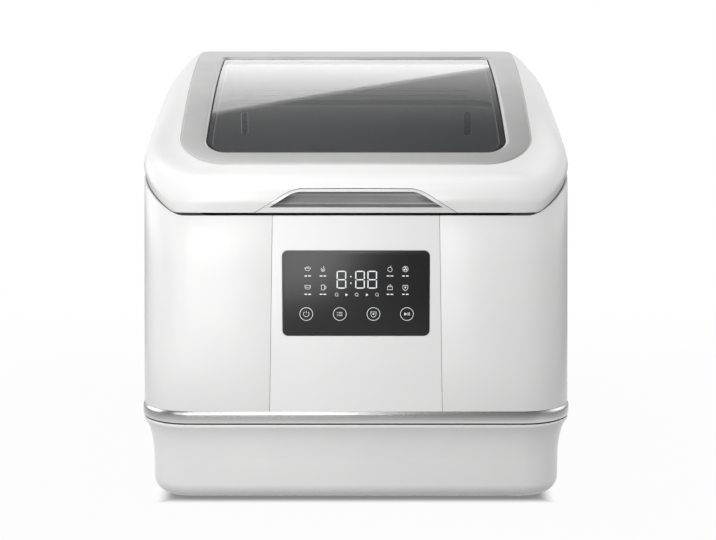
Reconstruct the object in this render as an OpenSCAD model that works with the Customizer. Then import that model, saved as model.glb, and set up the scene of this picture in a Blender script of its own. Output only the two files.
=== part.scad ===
// Countertop dishwasher with a glazed lid that opens upwards on a rear hinge.
// The front faces -Y, +X is to the right and the feet stand on Z = 0.

/* [Casing] */
// Width across the trim band, the widest part
machine_w = 446; // [426:2:470]
// Depth from the face of the trim band to the rear cover
casing_d = 414; // [400:2:440]
// Height of the body panels along their front edge
panel_h = 201; // [190:1:225]
// Thickness of the moulded panels
wall = 2.5; // [2:0.25:3.5]
// Radius of the front corners seen from above
corner_r = 52; // [44:1:60]
// Radius of the rear corners seen from above
rear_corner_r = 40; // [30:1:50]
// How far each side leans in over the panel height
side_draft = 3; // [0:0.5:5]
// How far the front leans back over the panel height
front_draft = 8; // [2:0.5:10]
// Half width of the front panel along its foot
front_foot_half = 88; // [85:1:96]
// Half width of the front panel along its head
front_head_half = 84; // [80:1:90]
// Gap at the joints between panels
panel_gap = 0.3; // [0.2:0.05:0.6]

/* [Base] */
// Height of the base tray
base_h = 82; // [74:1:95]
// How far the tray wall stands back under its rim
base_inset = 10.5; // [8:0.5:12]
// Radius where the tray wall turns under
base_fillet = 16; // [10:1:20]
// Height of the trim band
trim_h = 14; // [10:0.5:18]
// Radius of the rubber feet
foot_r = 14; // [10:1:18]
// How far the feet stand out under the tray
foot_h = 3; // [2.5:0.5:6]
// Distance from the casing's sides to the foot centres
foot_inset = 58; // [52:1:70]

/* [Lid] */
// Gap between the body and the lid's lower edge
lid_gap = 3.3; // [2.5:0.1:5]
// Height of the lid's crown above the body's front edge
lid_rise = 148; // [142:1:156]
// Radius of the crown from front to rear
crown_r = 915; // [850:5:1100]
// Height of the lip under the crease round the lid
lip_h = 11; // [8:0.5:14]
// How far the crease stands out past the lid's lower edge
crease_out = 3; // [1:0.5:4]
// Height that the lid joint climbs at the front corners
seam_rise = 33; // [28:1:36]
// Slope of the lid joint along the sides, rise over run
seam_slope = 0.15; // [0.12:0.01:0.17]
// Distance from the front to the silver frame
frame_front = 36; // [32:1:42]
// Half width of the silver frame at its front
frame_half = 182.5; // [178:0.5:186]
// Distance from the front to the window
window_front = 58; // [55:1:64]
// Distance from the rear cover to the window
window_rear = 69; // [66:1:76]
// Half width of the window
window_half = 156; // [150:1:160]
// Thickness of the window glass
glass_t = 3.2; // [2.5:0.1:4]
// Half width of the handle along its foot
handle_half = 102; // [90:1:110]
// Height of the handle
handle_h = 24; // [21:0.5:26]

/* [Display] */
// Width of the control glass
display_w = 149; // [120:1:155]
// Height of the control glass
display_h = 87; // [70:1:95]
// Height of the control glass's centre above the trim band
display_up = 122; // [115:1:128]
// Thickness of the control glass
display_t = 2; // [1.5:0.25:3]

/* [Wash chamber] */
// Half width inside the tub
tub_half = 165; // [163:1:168]
// Distance from the front to the inside of the tub
tub_front = 42; // [41:0.5:46]
// Distance from the rear cover to the inside of the tub
tub_rear = 52; // [50:0.5:54]
// Corner radius inside the tub
tub_r = 30; // [24:1:34]
// Wall of the tub
tub_wall = 2; // [1.5:0.25:2.5]
// Height of the tub floor above the trim band
tub_floor_up = 28; // [27:0.5:32]
// Length of the spray arm from hub to tip
arm_reach = 132; // [110:1:140]
// Radius of the bearing that carries the spray arm
arm_bearing_r = 8; // [7:0.25:9]
// Radial clearance of everything that turns or slides on a shaft
running = 0.05; // [0.02:0.01:0.08]
// Radius of the filter cup
filter_r = 26; // [24:0.5:28]
// Radius of the rack wires
wire_r = 1.8; // [1.5:0.1:2.2]
// Height of the rack's rail above its floor
rack_h = 66; // [50:1:70]
// Spacing of the plate tines
tine_pitch = 24; // [20:0.5:28]

/* [Services] */
// Radius of the water inlet's stub
inlet_r = 13.2; // [12:0.1:15]
// Radius of the drain spigot
drain_r = 9.5; // [8:0.1:11]
// How far the water stubs stand out behind the casing
stub_out = 16; // [12:0.5:20]
// Radius of the supply lead's passage
lead_r = 3.8; // [3:0.1:5]
// Radius of the drying fan's wheel
fan_r = 30; // [26:0.5:31]
// Number of blades on the drying fan's wheel
fan_blades = 24; // [16:1:28]
// Radius of the wash pump's impeller
impeller_r = 25; // [20:0.5:26]
// Number of vanes on the wash pump's impeller
impeller_vanes = 7; // [5:1:9]

/* [Hidden] */
$fn = 48;

// Levels and plan positions
face_y = -(casing_d + stub_out)/2;
rear_y = face_y + casing_d;
base_z0 = foot_h;
base_z1 = base_z0 + base_h;
band_z1 = base_z1 + trim_h;
edge_z = band_z1 + panel_h;
band_half = machine_w/2;
band_proud = 1.2;
seat_gap = 0.3;
edge_y = face_y + band_proud + front_draft;

// Steps of every plan outline, so that rings of different sizes match point for point
corner_steps = 8;
side_steps = 10;
rear_steps = 5;

function mix(a, b, t) = a + (b - a)*t;
function ease(t) = let (u = max(0, min(1, t))) u*u*(3 - 2*u);
function reversed(v) = [for (i = [len(v) - 1:-1:0]) v[i]];

// Half width of the casing's outside at height z
function casing_half(z) = band_half - band_proud - side_draft*(z - band_z1)/panel_h;
// Front of the casing's outside at height z
function casing_y(z) = face_y + band_proud + front_draft*(z - band_z1)/panel_h;

// Height of the body's top edge at depth y: level in front, climbing round the corners
seam_run = 28;
function seam_z(y) = let (d = max(0, y - edge_y - 1))
    edge_z + seam_rise*(1 - exp(-d/seam_run)) + seam_slope*d;

// Height of the lid's crown at depth y
crown_y = rear_y + 36.5;
crown_cz = edge_z + lid_rise - crown_r;
function crown_z(y) = crown_cz + sqrt(crown_r^2 - (y - crown_y)^2);
function crown_slope(y) = (crown_y - y)/sqrt(crown_r^2 - (y - crown_y)^2);

// Height of the deck's top at depth y: low in front, then up to the lid joint
deck_low = edge_z - 3;
deck_sink = 1;
deck_t = 2.5;
ramp_start = face_y + 30;
ramp_len = 45;
function deck_z(y) = mix(deck_low, seam_z(y) - deck_sink, ease((y - ramp_start)/ramp_len));

// Level well at the rear, in which the hinges stand
well_depth = 36;
well_y = rear_y - well_depth;
well_z = deck_z(well_y) - 1.5;

// Plan outline from the front centre round the right side to the rear centre
function half_outline(half, y0, y1, r0, r1, flare = 0) = [for (p = concat(
    [[0, y0]],
    [for (i = [0:corner_steps]) let (a = 90*i/corner_steps - 90)
        [half - r0 + r0*cos(a), y0 + r0 + r0*sin(a)]],
    [for (i = [1:side_steps - 1]) [half, mix(y0 + r0, y1 - r1, i/side_steps)]],
    [for (i = [0:rear_steps]) let (a = 90*i/rear_steps)
        [half - r1 + r1*cos(a), y1 - r1 + r1*sin(a)]],
    [[0, y1]]))
    [p.x*(1 + flare/half*(p.y - y0)/(y1 - y0)), p.y]];

// Whole plan outline without its centre points, anticlockwise seen from above
function full_outline(half_points) = let (n = len(half_points)) concat(
    [for (i = [1:n - 2]) half_points[i]], [for (i = [n - 2:-1:1]) [-half_points[i].x, half_points[i].y]]);

// Whole ring of section loops from those of its right half
function full_ring(half_loops) = concat(half_loops,
    [for (i = [len(half_loops) - 2:-1:1]) [for (p = half_loops[i]) [-p.x, p.y, p.z]]]);

function at_height(points, z) = [for (p = points) [p.x, p.y, z]];

// Solid through loops of equal length, closed on itself or capped at both ends; flip takes the other diagonals
module loft(loops, closed = false, flip = false) {
    n = len(loops);
    m = len(loops[0]);
    sides = [for (i = [0:(closed ? n : n - 1) - 1]) for (j = [0:m - 1])
        let (a = i*m + j, b = i*m + (j + 1)%m, c = ((i + 1)%n)*m + (j + 1)%m, d = ((i + 1)%n)*m + j)
        each (flip ? [[a, b, d], [b, c, d]] : [[a, b, c], [a, c, d]])];
    caps = closed ? [] : [for (j = [1:m - 2]) each [[0, j + 1, j],
        [(n - 1)*m, (n - 1)*m + j, (n - 1)*m + j + 1]]];
    polyhedron([for (loop = loops) each loop], concat(sides, caps), convexity = 10);
}

// Round tube of radius r along a list of points
function unit(v) = v/norm(v);
module hose(path, r, sides = 8) {
    last = len(path) - 1;
    loft([for (i = [0:last])
        let (along = unit(path[min(i + 1, last)] - path[max(i - 1, 0)]),
            side = unit(cross(along, abs(along.z) > 0.9 ? [0, 1, 0] : [0, 0, 1])),
            up = cross(side, along))
        [for (j = [0:sides - 1]) path[i] + r*(cos(360*j/sides)*side + sin(360*j/sides)*up)]]);
}

// Smooth route through four control points
function curve_at(c, t) = let (u = 1 - t) u^3*c[0] + 3*u^2*t*c[1] + 3*u*t^2*c[2] + t^3*c[3];
function curve(c, steps) = [for (i = [0:steps]) curve_at(c, i/steps)];

// Flat plan shape with true round corners
module plan(half, y0, y1, r0, r1) {
    for (x = [-1, 1]) {
        translate([x*(half - r0), y0 + r0]) circle(r0);
        translate([x*(half - r1), y1 - r1]) circle(r1);
    }
    polygon([[-half, y0 + r0], [-half + r0, y0], [half - r0, y0], [half, y0 + r0],
        [half, y1 - r1], [half - r1, y1], [-half + r1, y1], [-half, y1 - r1]]);
}

// Flat rounded rectangle about the origin
module rounded(w, h, r) {
    plan(w/2, -h/2, h/2, r, r);
}

// Prism along X through a side profile of [y, z] points
module across(profile, half) {
    translate([-half, 0, 0]) rotate([90, 0, 90]) linear_extrude(2*half) polygon(profile);
}

// Cylinders along X and Y that start at the given place
module rod_x(r, length, at) {
    translate(at) rotate([0, 90, 0]) cylinder(r = r, h = length);
}
module rod_y(r, length, at) {
    translate(at) rotate([-90, 0, 0]) cylinder(r = r, h = length);
}

// Box from its lowest to its highest corner
module span(low, high) {
    translate(low) cube(high - low);
}

// ---------------------------------------------------------------- base

base_floor = base_z0 + wall + 1;
rim_h = 2.5;
rim_inset = 0.9;
flare_h = 40;
flare_run = 14;
fillet_steps = 4;
flare_steps = 6;

// Set-back of the tray wall at height z: quick under the rim, then fading out
function flare(z) = mix(rim_inset, base_inset,
    (1 - exp((z - base_z1 + rim_h)/flare_run))/(1 - exp((rim_h - flare_h)/flare_run)));
function flare_z(k) = base_z1 - rim_h - (flare_h - rim_h)*(1 - k/flare_steps)^1.6;

// Plan outline of the casing set in by an amount, clockwise for a stack of levels
function level(inset, z) = at_height(reversed(full_outline(half_outline(band_half - inset,
    face_y + inset, rear_y - inset, corner_r - inset, rear_corner_r - min(inset, rear_corner_r - 6)))), z);

post_r = 8;
posts = [for (x = [-1, 1], y = [face_y + tub_front + 30, rear_y - tub_rear - 30]) [x*(tub_half - 24), y]];

module base_tray() {
    color("whitesmoke") {
        loft(concat(
            [for (i = [0:fillet_steps]) let (a = 90*i/fillet_steps)
                level(base_inset + base_fillet*(1 - sin(a)), base_z0 + base_fillet*(1 - cos(a)))],
            [for (k = [0:flare_steps]) level(flare(flare_z(k)), flare_z(k))],
            [level(rim_inset, base_z1), level(rim_inset + wall, base_z1)],
            [for (k = [flare_steps:-2:0]) level(flare(flare_z(k)) + wall, flare_z(k))],
            [level(base_inset + wall, base_z0 + base_fillet),
                level(base_inset + wall + base_fillet/2, base_floor)]));
    }
}

module tub_posts() {
    color("lightgray") for (p = posts) translate([p.x, p.y, base_floor]) {
        cylinder(r = post_r, h = tub_z0 - base_floor);
        cylinder(r = post_r + 5, h = 4);
    }
}

module rubber_feet() {
    color("dimgray") for (x = [-1, 1], y = [face_y + foot_inset, rear_y - foot_inset])
        translate([x*(band_half - foot_inset), y, 0]) {
            cylinder(r1 = foot_r - 1, r2 = foot_r, h = 1);
            translate([0, 0, 1]) cylinder(r = foot_r, h = foot_h - 1);
        }
}

module trim_band() {
    crown = 2.5;
    half_loops = [for (i = [0:len(half_outline(1, 0, 1, 0, 0)) - 1])
        [for (q = [[band_proud, base_z1], [0, base_z1 + crown], [0, band_z1 - crown],
            [band_proud, band_z1], [band_proud + wall, band_z1], [band_proud + wall, base_z1]])
            let (p = half_outline(band_half - q[0], face_y + q[0], rear_y - q[0],
                corner_r - q[0], rear_corner_r - q[0])[i])
            [p.x, p.y, q[1]]]];
    color("silver") loft(full_ring(half_loops), closed = true);
}

// ---------------------------------------------------------------- body panels

rear_seam = band_half - rear_corner_r + 1;

// Right-hand wall seen from above at height z, from the front joint round to the rear joint
function wall_path(z, inset) = let (
    full = half_outline(casing_half(z) - inset, casing_y(z) + inset, rear_y - inset,
        corner_r - inset, rear_corner_r - inset),
    joint = mix(front_foot_half, front_head_half, (z - band_z1)/panel_h) + panel_gap)
    concat([[joint, full[0].y]], [for (i = [1:len(full) - 2]) full[i]], [[rear_seam, full[len(full) - 1].y]]);

module side_panel() {
    outer = wall_path(edge_z, 0);
    loft([for (i = [0:len(outer) - 1])
        let (top_z = seam_z(outer[i].y), low_out = wall_path(band_z1, 0)[i],
            low_in = wall_path(band_z1, wall)[i], top_out = wall_path(top_z, 0)[i],
            top_in = wall_path(top_z, wall)[i])
        [[low_out.x, low_out.y, band_z1], [top_out.x, top_out.y, top_z],
            [top_in.x, top_in.y, top_z], [low_in.x, low_in.y, band_z1]]]);
}

module right_side_panel() {
    color("white") side_panel();
}

module left_side_panel() {
    color("white") mirror([1, 0, 0]) side_panel();
}

// Places its children on the leaning front face: X right, Y into the casing, Z up the face
module on_front(up) {
    lean = atan(front_draft/panel_h);
    translate([0, casing_y(band_z1 + up), band_z1 + up]) rotate([-lean, 0, 0]) children();
}

module display_prism(w, h, y0, y1, r) {
    translate([0, y1, 0]) rotate([90, 0, 0]) linear_extrude(y1 - y0) rounded(w, h, r);
}

display_r = 6;
module front_panel() {
    y0 = casing_y(band_z1);
    y1 = casing_y(edge_z);
    color("white") difference() {
        loft([for (side = [-1, 1]) [[side*front_foot_half, y0, band_z1], [side*front_head_half, y1, edge_z],
            [side*front_head_half, y1 + wall, edge_z], [side*front_foot_half, y0 + wall, band_z1]]]);
        on_front(display_up)
            display_prism(display_w + 2*panel_gap, display_h + 2*panel_gap, -5, wall + 5, display_r);
    }
}

module display_glass() {
    color("black") on_front(display_up) {
        display_prism(display_w, display_h, -0.4, display_t - 0.4, display_r);
    }
}

module display_board() {
    board_t = 1.6;
    module_t = 5;
    y0 = display_t - 0.35;
    color("darkgreen") on_front(display_up) {
        display_prism(display_w - 8, display_h - 8, y0, y0 + module_t, display_r);
        display_prism(display_w + 12, display_h + 8, y0 + module_t, y0 + module_t + board_t, display_r);
        for (x = [-1, 1], z = [-1, 1]) translate([x*(display_w/2 + 3), y0 + module_t, z*(display_h/2 - 4)])
            rotate([90, 0, 0]) cylinder(r = 2.5, h = y0 + module_t - wall - 0.1);
        translate([-18, y0 + module_t + board_t, -12]) cube([36, 6, 14]);
    }
}

// Rear openings: [x, z] of each service
inlet_at = [-150, band_z1 + 38];
drain_at = [-100, band_z1 + 18];
lead_at = [-50, band_z1 + 38];
vent_x = 134;
slot_w = 8;
slot_h = 28;
slot_margin = 4;
slot_z1 = well_z - deck_t - slot_margin - 2.2;
slot_z0 = slot_z1 - slot_h;
fan_at = [vent_x, edge_z + 4];
rear_top = seam_z(rear_y) - 1.5;
stub_hole = 0.4;

module stadium(x, z0, z1, w) {
    translate([x, z0 + w/2]) circle(w/2);
    translate([x, z1 - w/2]) circle(w/2);
    translate([x - w/2, z0 + w/2]) square([w, z1 - z0 - w]);
}

module rear_cover() {
    half = rear_seam - panel_gap;
    screw_x = half - 8;
    color("whitesmoke") translate([0, rear_y, 0]) rotate([90, 0, 0]) linear_extrude(wall) difference() {
        translate([-half, band_z1]) square([2*half, rear_top - band_z1]);
        translate(inlet_at) circle(inlet_r + stub_hole);
        translate(drain_at) circle(drain_r + stub_hole);
        translate(lead_at) circle(lead_r + 4.2);
        for (i = [-3:3]) translate(fan_at) stadium(i*8, -sqrt(26^2 - (i*8)^2), sqrt(26^2 - (i*8)^2), 4);
        for (i = [-1:1]) stadium(-vent_x + i*8, slot_z0 - slot_margin, slot_z1 + slot_margin, 4);
        for (x = [-1, 1], z = cover_screw_z) translate([x*screw_x, z]) circle(1.6);
    }
}

cover_screw_z = [band_z1 + 14, mix(band_z1, rear_top, 0.5), rear_top - 14];
module cover_screws() {
    screw_x = rear_seam - panel_gap - 8;
    color("silver") for (x = [-1, 1], z = cover_screw_z) {
        rod_y(1.55, wall + 4, [x*screw_x, rear_y - wall - 4, z]);
        rod_y(3.2, 1.8, [x*screw_x, rear_y, z]);
    }
}

// ---------------------------------------------------------------- wash chamber

tub_z1 = band_z1 + tub_floor_up;
tub_floor_t = 3;
tub_z0 = tub_z1 - tub_floor_t;
tub_y0 = face_y + tub_front;
tub_y1 = rear_y - tub_rear;
hub_y = (tub_y0 + tub_y1)/2;
sump_at = [75, hub_y + 68];
sump_r = filter_r + 9.5;
inside = wall + seat_gap;

// Side profile between the deck's top line lowered by an amount and a level far above it
function deck_line(drop) = concat(
    [for (i = [0:12]) let (y = mix(edge_y, ramp_start, i/12)) [y, deck_z(y) - drop]],
    [for (i = [1:12]) let (y = ramp_start + ramp_len*i/12) [y, deck_z(y) - drop]],
    [for (i = [1:16]) let (y = mix(ramp_start + ramp_len, well_y, i/16)) [y, deck_z(y) - drop]],
    [[well_y, well_z - drop], [rear_y, well_z - drop]]);

// Lock tongue slot in the deck
tongue_t = 3;
tongue_y0 = face_y + 17;
tongue_y1 = face_y + 24;
slot_half = 3;

module top_deck() {
    casing_in = casing_half(rear_top) - inside;
    color("gainsboro") difference() {
        intersection() {
            across(concat(deck_line(0), reversed(deck_line(deck_t))), band_half);
            linear_extrude(edge_z + lid_rise) plan(casing_in, edge_y + inside, rear_y - inside,
                corner_r - inside, rear_corner_r);
        }
        linear_extrude(edge_z + lid_rise) plan(tub_half, tub_y0, tub_y1, tub_r, tub_r);
        span([-slot_half, tongue_y0 - 5, deck_low - 10], [slot_half, tongue_y1 + 1, deck_low + 10]);
    }
}

heater_r = 60;
heater_tube = 4;
vent_t = 60;
module tub() {
    color("darkgray") difference() {
        translate([0, 0, tub_z0]) linear_extrude(edge_z + lid_rise - tub_z0)
            plan(tub_half + tub_wall, tub_y0 - tub_wall, tub_y1 + tub_wall, tub_r + tub_wall, tub_r + tub_wall);
        translate([0, 0, tub_z1]) linear_extrude(edge_z + lid_rise) plan(tub_half, tub_y0, tub_y1, tub_r, tub_r);
        across(concat(deck_line(deck_t), [[rear_y, edge_z + 2*lid_rise], [edge_y, edge_z + 2*lid_rise]]),
            band_half);
        translate([sump_at.x, sump_at.y, tub_z0 - 1]) cylinder(r = sump_r, h = tub_floor_t + 2);
        translate([0, hub_y, tub_z0 - 1]) cylinder(r = duct_r, h = tub_floor_t + 2);
        for (y = [-1, 1]) translate([-sqrt(heater_r^2 - heater_leg^2), hub_y + y*heater_leg, tub_z0 - 1])
            cylinder(r = heater_tube - 0.5 + running, h = tub_floor_t + 2);
        for (x = [-1, 1]) translate([0, tub_y1 + tub_wall + 1, 0]) rotate([90, 0, 0])
            linear_extrude(tub_wall + 2) stadium(x*vent_x, slot_z0, slot_z1, slot_w);
        rod_x(fill_r, tub_wall + 2, [-tub_half - tub_wall - 1, fill_at.x, fill_at.y]);
    }
}

// Soft seal round the top of the tub, pressed by the lid: a broad foot and a narrow lip that follow the deck
gasket_out = 9;
gasket_half_w = 4;
gasket_lip_half = 1.6;
deck_to_liner = 6.3;
module tub_gasket() {
    seat = 0.2;
    lip = deck_to_liner - seat_gap - 0.9;
    color("dimgray") {
        seal_strip(gasket_half_w, seat, seat + 2.5);
        seal_strip(gasket_lip_half, seat + 1, seat + lip);
    }
}
module seal_strip(half_w, low, high) {
    intersection() {
        across(concat(deck_line(-high), reversed(deck_line(-low))), band_half);
        linear_extrude(edge_z + lid_rise) difference() {
            seal_plan(gasket_out + half_w);
            seal_plan(gasket_out - half_w);
        }
    }
}
module seal_plan(out) {
    plan(tub_half + out, tub_y0 - out, tub_y1 + out, tub_r + out, tub_r + out);
}

// ---------------------------------------------------------------- water circuit

sump_wall = 2.5;
sump_z0 = base_floor + 54;
pump_z = sump_z0 + 14;
volute_r = impeller_r + 7;
volute_half = 13;
pump_wall = 3;
intake_r = 8;
duct_r = 10;
duct_wall = 2;
motor_r = 28;
motor_l = 56;
shaft_r = 3;
duct_z = pump_z + volute_r - duct_r - 1.5;

duct_end = sump_at.y - sqrt(volute_r^2 - (duct_z - duct_r - pump_z)^2) - 1;
module sump() {
    pump_end = volute_half + seat_gap;
    color("dimgray") translate([sump_at.x, sump_at.y, 0]) difference() {
        union() {
            translate([0, 0, sump_z0]) cylinder(r = sump_r + sump_wall, h = tub_z0 - sump_z0);
            rod_x(intake_r + duct_wall, sump_at.x - pump_end, [pump_end - sump_at.x, 0, pump_z]);
            rod_y(intake_r, sump_r + 8, [0, 0, pump_z]);
        }
        translate([0, 0, sump_z0 + sump_wall]) cylinder(r = sump_r, h = tub_z0 - sump_z0);
        rod_x(intake_r, sump_at.x, [-sump_at.x, 0, pump_z]);
        rod_y(intake_r - duct_wall, sump_r + 20, [0, 0, pump_z]);
    }
}

coarse_r = sump_r + 14;
coarse_t = 1.2;
module coarse_filter() {
    slots = 24;
    color("silver") translate([sump_at.x, sump_at.y, tub_z1]) difference() {
        cylinder(r = coarse_r, h = coarse_t);
        translate([0, 0, -1]) cylinder(r = filter_r + 1, h = coarse_t + 2);
        for (i = [0:slots - 1]) rotate(360*i/slots)
            translate([sump_r - 5, -0.8, -1]) cube([4, 1.6, coarse_t + 2]);
    }
}

cup_wall = 1.5;
cup_z0 = sump_z0 + sump_wall + 4;
cup_flange_z = tub_z1 + coarse_t + seat_gap;
module filter_cup() {
    slots = 16;
    color("gray") translate([sump_at.x, sump_at.y, 0]) {
        difference() {
            union() {
                translate([0, 0, cup_z0]) cylinder(r = filter_r, h = cup_flange_z - cup_z0);
                translate([0, 0, cup_flange_z]) cylinder(r = filter_r + 5, h = 2);
            }
            translate([0, 0, cup_z0 + cup_wall]) cylinder(r = filter_r - cup_wall, h = cup_flange_z);
            for (i = [0:slots - 1]) rotate(360*i/slots)
                translate([filter_r - 3, -1.2, cup_z0 + 5]) cube([5, 2.4, cup_flange_z - cup_z0 - 12]);
        }
        for (side = [-1, 1]) translate([side*(filter_r + 1.5) - 2.5, -3, cup_flange_z + 2]) cube([5, 6, 6]);
        translate([-filter_r - 4, -3, cup_flange_z + 8]) cube([2*filter_r + 8, 6, 2.5]);
    }
}

module pump_housing() {
    y = sump_at.y;
    color("dimgray") {
        difference() {
            union() {
                rod_x(volute_r, 2*volute_half, [-volute_half, y, pump_z]);
                rod_x(motor_r, motor_l, [-volute_half - motor_l, y, pump_z]);
                rod_y(duct_r, y - duct_end, [0, duct_end, duct_z]);
            }
            rod_x(volute_r - pump_wall, 2*volute_half - 2*pump_wall, [-volute_half + pump_wall, y, pump_z]);
            rod_x(intake_r, pump_wall + 2, [volute_half - pump_wall - 1, y, pump_z]);
            rod_x(shaft_r + running, motor_l + volute_half - 10, [-volute_half - motor_l + 10, y, pump_z]);
            rod_y(duct_r - duct_wall, y - duct_end + 1, [0, duct_end - 1, duct_z]);
        }
        for (i = [0:7]) rotate_about_pump(i*45) translate([-volute_half - motor_l + 6, motor_r - 0.5, -1])
            cube([motor_l - 14, 2.5, 2]);
    }
}

module rotate_about_pump(a) {
    translate([0, sump_at.y, pump_z]) rotate([a, 0, 0]) children();
}

module pump_rotor() {
    disc_t = 2;
    color("lightgray") rotate_about_pump(0) {
        rod_x(shaft_r, motor_l + volute_half - 12, [-volute_half - motor_l + 12, 0, 0]);
        rod_x(impeller_r, disc_t, [-volute_half + pump_wall + 2, 0, 0]);
        for (i = [0:impeller_vanes - 1]) rotate([360*i/impeller_vanes, 0, 0])
            translate([-volute_half + pump_wall + 2 + disc_t, 0, 0]) rotate([0, 90, 0])
            linear_extrude(10) vane(shaft_r - 0.5, impeller_r);
    }
}

// Backward-swept blade outline between two radii
module vane(r0, r1) {
    sweep = 50;
    steps = 4;
    thick = 1.6;
    line = [for (i = [0:steps]) let (r = mix(r0, r1 - 0.5, i/steps), a = sweep*i/steps) [r*cos(a), r*sin(a)]];
    polygon(concat([for (i = [0:steps]) line[i]], [for (i = [steps:-1:0]) line[i] + thick*[
        sin(sweep*i/steps + 10), -cos(sweep*i/steps + 10)]]));
}

module pump_bracket() {
    x0 = -volute_half - motor_l + 16;
    color("gray") difference() {
        span([x0, sump_at.y - motor_r + 2, base_floor], [x0 + 24, sump_at.y + motor_r - 2, pump_z - 10]);
        rod_x(motor_r + 2 + seat_gap, 60, [x0 - 10, sump_at.y, pump_z]);
        span([x0 - 1, sump_at.y - motor_r + 8, base_floor + 5],
            [x0 + 25, sump_at.y + motor_r - 8, pump_z - motor_r - 6]);
    }
}

// Pipe from the pump forward and up to the spray hub
module wash_duct() {
    start_y = duct_end - seat_gap;
    color("gray") difference() {
        union() {
            rod_y(duct_r, start_y - hub_y, [0, hub_y, duct_z]);
            translate([0, hub_y, duct_z]) sphere(duct_r);
            translate([0, hub_y, duct_z]) cylinder(r = duct_r, h = tub_z0 - duct_z);
        }
        rod_y(duct_r - duct_wall, start_y - hub_y + 1, [0, hub_y, duct_z]);
        translate([0, hub_y, duct_z]) sphere(duct_r - duct_wall);
        translate([0, hub_y, duct_z]) cylinder(r = duct_r - duct_wall, h = tub_z0 - duct_z + 1);
    }
}

hub_foot_r = 20;
arm_z0 = tub_z1 + 17;
arm_hub_h = 14;
post_top = arm_z0 + arm_hub_h + 0.5;
module spray_hub() {
    color("gray") translate([0, hub_y, 0]) difference() {
        union() {
            translate([0, 0, tub_z0]) cylinder(r = duct_r - running, h = tub_floor_t);
            translate([0, 0, tub_z1]) cylinder(r = hub_foot_r, h = 3);
            translate([0, 0, tub_z1 + 3])
                cylinder(r1 = hub_foot_r - 3, r2 = arm_bearing_r + 3, h = arm_z0 - tub_z1 - 3.5);
            translate([0, 0, tub_z1 + 3]) cylinder(r = arm_bearing_r, h = post_top - tub_z1 - 3);
        }
        translate([0, 0, tub_z0 - 1]) cylinder(r = arm_bearing_r - 2, h = post_top - tub_z0 - 3);
        for (a = [0, 90]) translate([0, 0, arm_z0 + 6]) rotate([0, 90, a])
            translate([0, 0, -arm_bearing_r - 1]) cylinder(r = 2, h = 2*arm_bearing_r + 2);
    }
}

module spray_cap() {
    color("gray") translate([0, hub_y, post_top]) {
        cylinder(r = arm_bearing_r + 5, h = 3);
        translate([0, 0, 3]) cylinder(r1 = arm_bearing_r + 3, r2 = arm_bearing_r - 2, h = 3);
    }
}

// Two-armed rotor: flat oval sections that narrow and curl towards the tips
arm_half_w = 13;
arm_h = 9;
module spray_arm() {
    curl = 14;
    steps = 16;
    sides = 10;
    color("gainsboro") translate([0, hub_y, arm_z0]) difference() {
        union() {
            translate([0, 0, arm_h/2 + 1]) loft([for (i = [0:steps])
                let (u = 2*i/steps - 1, w = arm_half_w*mix(1, 0.55, u^2), h = arm_h/2*mix(1, 0.6, u^2))
                [for (j = [0:sides - 1]) let (a = 360*(j + 0.5)/sides)
                    [u*arm_reach, -w*cos(a) + curl*u*abs(u), h*sin(a)]]]);
            cylinder(r = arm_bearing_r + 6, h = arm_hub_h);
            for (side = [-1, 1], k = [0.35, 0.55, 0.75, 0.92])
                translate([side*k*arm_reach, side*curl*k^2, arm_h/2]) cylinder(r = 3, h = arm_h/2 + 1.6);
        }
        translate([0, 0, -1]) cylinder(r = arm_bearing_r + running, h = arm_hub_h + 2);
    }
}

heater_leg = 12;
module heater_element() {
    ring_z = tub_z1 + 7;
    color("silver") {
        translate([0, hub_y, ring_z]) rotate_extrude() translate([heater_r, 0]) circle(heater_tube);
        for (y = [-1, 1]) translate([-sqrt(heater_r^2 - heater_leg^2), hub_y + y*heater_leg, tub_z0 - 12])
            cylinder(r = heater_tube - 0.5, h = ring_z - tub_z0 + 12);
    }
}

drain_pump_y = sump_at.y + sump_r + 8 + seat_gap;
module drain_pump() {
    r = 21;
    color("dimgray") {
        rod_y(r, 16, [sump_at.x, drain_pump_y, pump_z]);
        rod_y(r - 5, 26, [sump_at.x, drain_pump_y + 16, pump_z]);
        rod_x(drain_r - 2.5, 14, [sump_at.x - r - 12, drain_pump_y + 8, pump_z + 10]);
        span([sump_at.x - 8, drain_pump_y + 2, base_floor], [sump_at.x + 8, drain_pump_y + 14, pump_z - r + 3]);
    }
}

hose_r = 8;
straight = 8;
module drain_hose() {
    start = [sump_at.x - 33 - seat_gap, drain_pump_y + 8, pump_z + 10];
    finish = [drain_at.x, rear_y - wall - 8 - seat_gap, drain_at.y];
    color("slategray") hose(concat([start], curve([start - [straight, 0, 0], start - [70, 0, 0],
        finish - [0, 60, 25], finish - [0, straight, 0]], 16), [finish]), hose_r);
}

module drain_spigot() {
    place = [drain_at.x, rear_y - wall - 8, drain_at.y];
    color("dimgray") difference() {
        union() {
            rod_y(drain_r, wall + 8 + stub_out, place);
            rod_y(drain_r + stub_hole/2, wall + 8, place);
            rod_y(drain_r + 5, 8 - seat_gap, place);
        }
        rod_y(drain_r - 3, wall + 8 + stub_out - 2, place + [0, 4, 0]);
    }
}

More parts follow.
